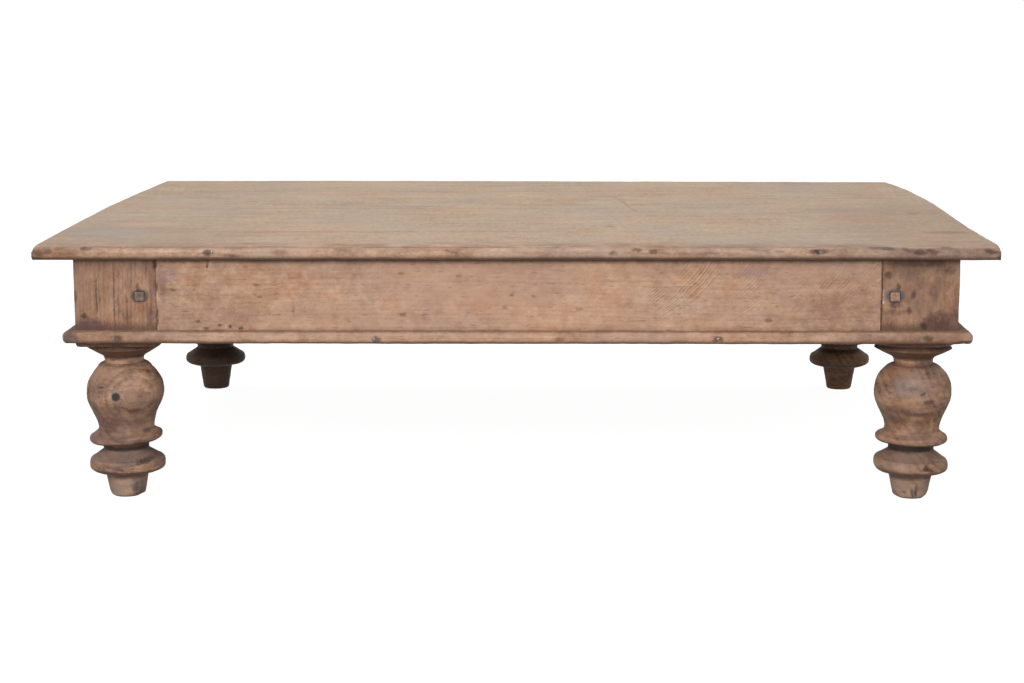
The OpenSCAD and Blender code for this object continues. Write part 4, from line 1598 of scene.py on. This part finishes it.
# %% Marks of the front apron
APRON_MARKS = [
    ((-552, -520, 350), (9, 5, 34), PLUM, 0.4),
    # Painted shade: the left end of the apron, darkened.
    ((-500, -520, 320), (130, 8, 70), BROWN, 0.2),
    ((-480, -520, 382), (2.2, 5, 12), SHADOW, 0.9),
    ((-534, -520, 341), (7, 5, 3), BROWN, 0.6),
    ((-404, -520, 349), (5, 5, 3), BROWN, 0.6),
    ((-399, -520, 330), (5, 5, 3), BROWN, 0.6),
    ((-496, -520, 291), (4, 5, 3), SHADOW, 0.6),
    ((-485, -520, 280), (6, 5, 3), SHADOW, 0.6),
    ((-461, -520, 285), (5, 5, 3), SHADOW, 0.6),
    ((-447, -520, 283), (4, 5, 3), SHADOW, 0.6),
    ((-429, -520, 281), (6, 5, 3), SHADOW, 0.6),
    ((-347, -520, 311), (1.6, 5, 15), BROWN, 0.3),
    ((-175, -520, 302), (6, 5, 4), BROWN, 0.5),
    ((-178, -520, 367), (5, 5, 3), BROWN, 0.4),
    ((-89, -520, 363), (6, 5, 3), BROWN, 0.35),
    ((-6, -520, 333), (5, 5, 3), BROWN, 0.5),
    ((28, -520, 331), (5, 5, 3), BROWN, 0.5),
    ((-17, -520, 314), (6, 5, 3), BROWN, 0.5),
    ((100, -520, 311), (7, 5, 3), BROWN, 0.5),
    ((368, -520, 368), (26, 5, 10), PURPLE, 0.5),
    ((-545, -520, 363), (18, 5, 14), PURPLE, 0.5),
    ((393, -520, 293), (7, 5, 4), BROWN, 0.6),
    # Painted shade: the right end of the apron, darkened.
    ((510, -520, 300), (90, 6, 60), BROWN, 0.3),
    ((-561, -520, 383), (3, 5, 12), SHADOW, 0.8),
    ((-561, -520, 345), (4, 5, 9), SHADOW, 0.6),
    ((-561, -520, 298), (4, 5, 15), SHADOW, 0.6),
    ((567.5, -520, 320), (1.4, 5, 66), SHADOW, 0.7, "crisp"),
]
print("marks of the front apron:", len(APRON_MARKS))

# %% Marks of the front moulding
STRIP_MARKS = [
    ((-216, -540, 265), (9, 6, 7), SHADOW, 0.7),
    ((313, -540, 266), (9, 5, 6), SHADOW, 0.6),
    ((638, -540, 268), (9, 6, 7), SHADOW, 0.8),
    ((-621, -540, 266), (9, 6, 7), SHADOW, 0.7),
    ((-694, -538, 266), (16, 9, 12), (88, 80, 78), 0.8),
    # Painted shade: the two ends of the moulding, darkened.
    ((-610, -540, 268), (110, 9, 14), BROWN, 0.3),
    ((630, -540, 268), (110, 9, 14), BROWN, 0.35),
    ((67, -540, 265), (9, 5, 6), BROWN, 0.6),
    ((694, -539, 260), (18, 8, 5), SHADOW, 0.8),
    # Painted shade: the lower edge of the moulding, darker towards its ends.
    ((-560, -540, 262), (110, 7, 5), BROWN, 0.35),
    ((600, -540, 262), (110, 7, 5), BROWN, 0.4),
]
print("marks of the front moulding:", len(STRIP_MARKS))

# %% Marks of the left front leg
LEFT_LEG_MARKS = [
    ((-655, -520, 330), (1.6, 5, 46), SHADOW, 0.5),
    ((-627, -520, 325), (1.4, 5, 50), SHADOW, 0.5),
    ((-608, -520, 320), (1.4, 5, 40), SHADOW, 0.45),
    ((-587, -519, 331), (14.5, 22, 11), (86, 79, 70), 0.72, "crisp"),
    ((-589, -520, 344), (4, 8, 9), SHADOW, 0.7, (0, -10, 0)),
    ((-663, -520, 283), (40, 6, 14), PLUM, 0.8),
    ((-689, -520, 331), (4, 10, 12), SHADOW, 0.7),
    ((-675, -520, 299), (6, 5, 5), SHADOW, 0.6),
    ((-567, -520, 345), (7, 8, 26), PLUM, 0.55),
    ((-569, -520, 298), (8, 8, 18), PLUM, 0.55),
    ((-561, -520, 345), (1.6, 8, 40), SHADOW, 0.6),
    ((-561, -520, 290), (2, 8, 16), SHADOW, 0.6),
    ((-562, -520, 383), (5, 8, 13), (34, 24, 20), 0.9),
    ((-633, -517, 170), (12, 14, 12), (182, 162, 150), 0.25),
    ((-630, -517, 170), (7, 14, 7), (50, 45, 46), 0.72, "crisp"),
    ((-621, -517, 165), (6, 14, 1.5), SHADOW, 0.5, (0, 35, 0)),
    ((-592, -514, 172), (9, 20, 8), PLUM, 0.3),
    ((-606, -516, 170), (11.5, 24, 11.5), (96, 68, 56), 0.3, "crisp"),
    ((-606, -516, 170), (10.5, 24, 10.5), (186, 150, 128), 0.25, "crisp"),
    ((-620, -512, 152), (12, 20, 2.5), SHADOW, 0.4, (0, 24, 0)),
    ((-602, -510, 146), (14, 20, 4), SHADOW, 0.45),
    ((-582, -505, 151), (12, 20, 3), SHADOW, 0.4, (0, -22, 0)),
    ((-654, -505, 184), (9, 20, 2.5), SHADOW, 0.6),
    ((-656, -505, 175), (8, 20, 2), SHADOW, 0.4),
    ((-594, -500, 207), (5, 20, 3), SHADOW, 0.45),
    ((-582, -500, 172), (4, 20, 3), SHADOW, 0.5),
    ((-589, -480, 110), (8, 30, 5), SHADOW, 0.4),
    # Painted shade: the lower part of the ball.
    ((-627, -500, 126), (60, 60, 16), PLUM, 0.4),
    ((-618, -500, 141), (9, 24, 7), (184, 142, 104), 0.4, (0, 40, 0)),
    ((-627, -457, 69), (80, 80, 13), (118, 103, 98), 0.45, "crisp"),
    ((-588, -500, 64), (20, 24, 5), (58, 52, 54), 0.6, (0, -12, 0)),
    ((-612, -505, 58), (26, 24, 2), (70, 60, 58), 0.5, (0, -6, 0)),
    ((-627, -500, 44), (60, 30, 5), PLUM, 0.6),
    ((-634, -470, 16), (34, 50, 24), (192, 166, 144), 0.35),
    ((-605, -480, 15), (13, 24, 17), (92, 85, 82), 0.7),
    ((-606, -480, 4), (16, 24, 3), SHADOW, 0.6),
    ((-627, -470, 34), (50, 50, 4), SHADOW, 0.4),
    # Painted shade in the groove under the ring, and under the block at the flare.
    ((-627, -457, 80.5), (60, 60, 5), (40, 26, 19), 0.58, "crisp"),
    ((-627, -470, 240), (90, 90, 9), (104, 70, 50), 0.7),
    ((-627, -470, 248), (90, 90, 6), (62, 38, 28), 0.7),
    ((-592, -480, 228), (10, 12, 6), SHADOW, 0.5),
    ((-634, -480, 219), (22, 30, 4), (206, 166, 134), 0.5),
]
print("marks of the left front leg:", len(LEFT_LEG_MARKS))

# %% Marks of the right front leg
RIGHT_LEG_MARKS = [
    ((588, -519, 331), (15.5, 22, 12), (92, 87, 90), 0.7, "crisp"),
    ((593, -520, 346), (4, 8, 7), SHADOW, 0.6),
    ((588, -520, 317), (12, 8, 5), PLUM, 0.8),
    ((567.6, -520, 330), (1.0, 8, 70), SHADOW, 0.7, "crisp"),
    ((570, -521, 340), (1.0, 8, 1.6), (200, 192, 186), 0.3, "crisp"),
    ((570.4, -521, 334), (0.9, 8, 1.4), (200, 192, 186), 0.3, "crisp"),
    ((570.2, -521, 321.5), (1.2, 8, 1.6), (230, 228, 226), 0.6, "crisp"),
    ((616, -520, 333), (5, 5, 7), PLUM, 0.9),
    ((610, -520, 308), (4, 5, 7), SHADOW, 0.5),
    ((590, -520, 306), (24, 5, 5), SHADOW, 0.3),
    ((656, -520, 292), (30, 6, 16), (92, 62, 54), 0.7),
    ((634, -520, 284), (9, 6, 7), SHADOW, 0.7),
    ((684, -520, 320), (6, 8, 40), SHADOW, 0.4),
    ((625, -520, 384), (70, 5, 9), SHADOW, 0.5),
    ((600, -520, 366), (34, 5, 12), (112, 88, 80), 0.3),
    ((672, -520, 371), (10, 5, 8), SHADOW, 0.5),
    ((577, -520, 365), (7, 5, 7), SHADOW, 0.5),
    ((613, -514, 188), (32, 18, 20), (146, 132, 126), 0.42),
    ((606, -514, 188), (4, 14, 7), (92, 84, 84), 0.3),
    ((619, -514, 184), (12, 14, 4), (86, 78, 80), 0.35, (0, -12, 0)),
    ((636, -514, 176), (5.5, 16, 2.6), (72, 62, 52), 0.52, (0, -35, 0), "crisp"),
    ((646, -512, 163), (9, 16, 4), (74, 54, 50), 0.52, (0, -4, 0), "crisp"),
    ((640, -512, 161), (6, 16, 4), PLUM, 0.3),
    ((616, -506, 164), (34, 20, 5), (190, 148, 114), 0.35, (0, -8, 0)),
    ((598, -506, 146), (34, 20, 6), PLUM, 0.55, (0, 6, 0)),
    # Painted shade: the lower part of the ball.
    ((627, -500, 122), (60, 60, 12), BROWN, 0.3),
    ((654, -500, 124), (3.5, 24, 14), (196, 150, 116), 0.5),
    ((640, -506, 142), (30, 20, 4), PLUM, 0.45),
    ((627, -457, 69), (70, 70, 11), (138, 118, 106), 0.3, "crisp"),
    ((644, -510, 56), (5, 40, 5), (58, 46, 46), 0.55, (0, 25, 0), "crisp"),
    ((650, -510, 53), (8, 40, 3), (64, 46, 44), 0.5, (0, 20, 0), "crisp"),
    ((627, -470, 18), (60, 60, 26), (176, 152, 134), 0.35),
    ((627, -470, 34), (50, 50, 4), SHADOW, 0.4),
    # Painted shade in the groove under the ring, and under the block at the flare.
    ((627, -457, 82.5), (60, 60, 6), (40, 26, 19), 0.62, "crisp"),
    ((627, -470, 240), (90, 90, 9), (104, 70, 50), 0.7),
    ((627, -470, 248), (90, 90, 6), (62, 38, 28), 0.7),
    ((634, -480, 15), (3.5, 20, 15), (66, 58, 58), 0.7),
    ((628, -480, 10), (3, 20, 10), (72, 62, 60), 0.6, (0, -10, 0)),
    ((616, -480, 11), (4, 20, 3), (72, 62, 60), 0.5),
]
print("marks of the right front leg:", len(RIGHT_LEG_MARKS))

# %% [markdown]
# A log's pith lies far from a board, so its face shows long, even lines. Each board is cut from
# its own place. The wood of the sides runs from front to back, and so does that of the battens
# and of the pegs.

# %% Mix the teak of each piece
def paint(material, *starts):
    """Gives a material to each piece whose name starts with one of some words, and counts them."""
    painted = [piece for piece in bpy.context.scene.objects if piece.name.startswith(starts)]
    for piece in painted:
        piece.data.materials.clear()
        piece.data.materials.append(material)
    return len(painted)


PITHS = ((-500, 60), (-60, 900), (240, -300), (500, 700))
for (name, board), (y, z) in zip(boards.items(), PITHS):
    paint(mix_teak("teak of " + name, "X", (0, y, z), TOP_COLOURS, TOP_LOOK, TOP_MARKS), board.name)

SAW = {"across": (0.0, 0.25), "strength": 0.35}
SIDE_PIECES = [kind + side for kind in ("worn_apron_", "worn_moulding_") for side in ("left", "right")]
# The name of each teak, its pieces, then what the finish asks for.
for name, pieces, *wood in (
    ("front apron", ["worn_apron_front"],
     "X", (0, -460, 650), APRON_COLOURS, APRON_LOOK, APRON_MARKS, SAW),
    ("front moulding", ["worn_moulding_front"],
     "X", (0, -420, 150), STRIP_COLOURS, STRIP_LOOK, STRIP_MARKS),
    ("back", ["worn_apron_back", "worn_moulding_back"],
     "X", (0, 400, 600), APRON_COLOURS, APRON_LOOK),
    ("sides", [*SIDE_PIECES, "sawn_batten"], "Y", (0, -560, 640), APRON_COLOURS, APRON_LOOK),
    ("pegs", ["whittled_peg"], "Y", (0, 0, 0), BLOCK_COLOURS, RIGHT_BLOCK_LOOK),
    ("shrunken peg", ["whittled_peg_front_left"], "Y", (0, 0, 0), GREY_PEG, PEG_LOOK),
    ("proud peg", ["whittled_peg_front_right"], "Y", (0, 0, 0), PALE_PEG, PEG_LOOK),
):
    print("teak of the", name, "on", paint(mix_teak("teak of the " + name, *wood), *pieces))

# %% [markdown]
# A leg has three materials. The sawn block and the turned part show the wood in different ways,
# and the walls of the peg holes are painted dark, as painted shade. The ball of the left front leg
# was turned across a branch, so its figure runs round a point that faces the front. The back legs
# stand in the shade of the table, and their turnings are painted darker for it, as painted shade.

# %% Mix the teak of the legs
# For each leg: the block's pith and look, the turning's pith, colours and look, and the marks.
LEG_TEAKS = {
    "leg_front_left": (
        (0, -366, -668), BLOCK_LOOK, (0, 606, 169), TURNED_COLOURS, TURNED_LOOK, LEFT_LEG_MARKS,
    ),
    "leg_front_right": (
        (0, -250, 700), RIGHT_BLOCK_LOOK, (0, -900, 300), TURNED_COLOURS, TURNED_LOOK,
        RIGHT_LEG_MARKS,
    ),
    "leg_back_left": (
        (0, 600, 300), BLOCK_LOOK, (0, 700, 120), BACK_LEFT_COLOURS, BACK_TURNED_LOOK, (),
    ),
    "leg_back_right": (
        (0, 600, 300), BLOCK_LOOK, (0, -700, 120), BACK_RIGHT_COLOURS, BACK_TURNED_LOOK, (),
    ),
}
hole_shade = mix_teak("grime in the peg holes", "Z", (0, 0, 0), HOLE_COLOURS, RIGHT_BLOCK_LOOK)
for name, (pith, look, turned_pith, turned_colours, turned_look, marks) in LEG_TEAKS.items():
    block_teak = mix_teak("block teak of " + name, "Z", pith, BLOCK_COLOURS, look, marks)
    turned = (turned_pith, turned_colours, turned_look, marks)
    paint(block_teak, raw_legs[name].name)
    raw_legs[name].data.materials.append(mix_teak("turned teak of " + name, "Y", *turned))
    raw_legs[name].data.materials.append(hole_shade)
print("teak materials:", sum("teak" in material.name for material in bpy.data.materials))

# %% Give each face of a leg its teak
BLOCK_TEAK, TURNED_TEAK, HOLE_SHADE = range(3)
HOLE_LIP = 0.9 * MM
HOLE_REACH = 20 * MM
HOLE_HALF_HEIGHT = 14 * MM


def in_hole(place, across, outside, low, high):
    """True for the walls and the ground of a peg hole, behind its lip."""
    off = place - (low + high) / 2
    deep = abs(place[across] - outside) > HOLE_LIP
    return deep and off.length < HOLE_REACH and abs(off.z) < HOLE_HALF_HEIGHT


for name, leg in raw_legs.items():
    heights = places_of(leg)[:, 2]
    holes = [hole for leg_name, *hole in peg_holes if leg_name == name]
    for face in leg.data.polygons:
        below = max(heights[k] for k in face.vertices) < block_foot + 0.5 * MM
        face.material_index = TURNED_TEAK if below else BLOCK_TEAK
        if any(in_hole(face.center, *hole) for hole in holes):
            face.material_index = HOLE_SHADE
    used = [face.material_index for face in leg.data.polygons]
    print(name, "faces by teak:", [used.count(kind) for kind in range(3)])

# %% Mix the iron
RUST = (0.42, 0.6)
iron = bpy.data.materials.new("old iron")
iron.use_nodes = True
tree = iron.node_tree
shader = tree.nodes["Principled BSDF"]
place = node(tree, "ShaderNodeTexCoord").outputs["Object"]
rust = noise_of(tree, place, scale=700, detail=4, roughness=0.7).outputs["Fac"]
rusted = ramp(tree, rust, *RUST)
tone = blend(tree, rusted, colour_of(128, 128, 130), colour_of(92, 66, 52))
tree.links.new(tone, shader.inputs["Base Color"])
tree.links.new(ramp(tree, rust, *RUST, 0.3, 0.85), shader.inputs["Roughness"])
tree.links.new(ramp(tree, rust, *RUST, 0.9, 0.2), shader.inputs["Metallic"])
relief = node(tree, "ShaderNodeBump", {"Height": rust, "Strength": 0.4, "Distance": 0.5 * MM})
tree.links.new(relief.outputs[0], shader.inputs["Normal"])
print("iron pieces:", paint(iron, "iron_"))

# %% [markdown]
# ## Studio
# The floor and the air are white to the camera only. The light that they give back is weaker,
# so that the wood keeps its shadows. A broad lamp hangs over the table, and a second one stands
# low in front, so that the front of the frame is lit under the top's edge.

# %% Lay the floor
clear_bench()
bpy.ops.mesh.primitive_plane_add(size=40, location=(0, 0, 0))
floor = bpy.context.object
floor.name = "studio_floor"


def only_seen(tree):
    """1 where the camera sees, straight or in a reflection, and 0 where light is gathered."""
    ray = node(tree, "ShaderNodeLightPath").outputs
    mirrored = maths(tree, "MAXIMUM", ray["Is Glossy Ray"], ray["Is Transmission Ray"])
    return maths(tree, "MAXIMUM", ray["Is Camera Ray"], mirrored)


FLOOR_GIVES = (0.25, 0.235, 0.22, 1)
FLOOR_SHOWS = (0.3, 0.3, 0.3, 1)
FLOOR_GLOW = 0.94
floor_paint = bpy.data.materials.new("studio floor")
floor_paint.use_nodes = True
tree = floor_paint.node_tree
tree.nodes.remove(tree.nodes["Principled BSDF"])
gives = node(tree, "ShaderNodeBsdfDiffuse", {"Color": FLOOR_GIVES}).outputs[0]
white = node(tree, "ShaderNodeBsdfDiffuse", {"Color": FLOOR_SHOWS}).outputs[0]
glow = node(tree, "ShaderNodeEmission", {"Strength": FLOOR_GLOW}).outputs[0]
shows = node(tree, "ShaderNodeAddShader", {0: white, 1: glow}).outputs[0]
mixed = node(tree, "ShaderNodeMixShader", {0: only_seen(tree), 1: gives, 2: shows}).outputs[0]
tree.links.new(mixed, tree.nodes["Material Output"].inputs["Surface"])
floor.data.materials.append(floor_paint)
print("floor:", [round(v) for v in floor.dimensions], "m")

# %% Light the table
AIR_LIGHT = 0.31

world = bpy.data.worlds.new("studio")
world.use_nodes = True
bpy.context.scene.world = world
tree = world.node_tree
air = node(tree, "ShaderNodeBackground", {"Color": (1, 1, 1, 1), "Strength": AIR_LIGHT}).outputs[0]
back = node(tree, "ShaderNodeBackground", {"Color": (1, 1, 1, 1), "Strength": 1.0}).outputs[0]
mixed = node(tree, "ShaderNodeMixShader", {0: only_seen(tree), 1: air, 2: back}).outputs[0]
tree.links.new(mixed, tree.nodes["World Output"].inputs["Surface"])


def soft_light(name, place, aim, size, power):
    """A rectangular lamp at a place, turned to an aim. Its power is in watts."""
    lamp = bpy.data.lights.new(name, "AREA")
    lamp.shape = "RECTANGLE"
    lamp.size, lamp.size_y = size
    lamp.energy = power
    made = bpy.data.objects.new(name, lamp)
    bpy.context.scene.collection.objects.link(made)
    made.location = place
    made.rotation_euler = (Vector(aim) - Vector(place)).to_track_quat("-Z", "Y").to_euler()


soft_light("overhead", place=(-0.1, 0.3, 2.6), aim=(-0.1, 0.3, 0), size=(2.6, 2.2), power=30.5)
soft_light("front", place=(-0.35, -3.6, 1.35), aim=(-0.05, -0.5, 0.25), size=(2.0, 1.5), power=91)
print("lamps:", [light.name for light in bpy.data.lights])
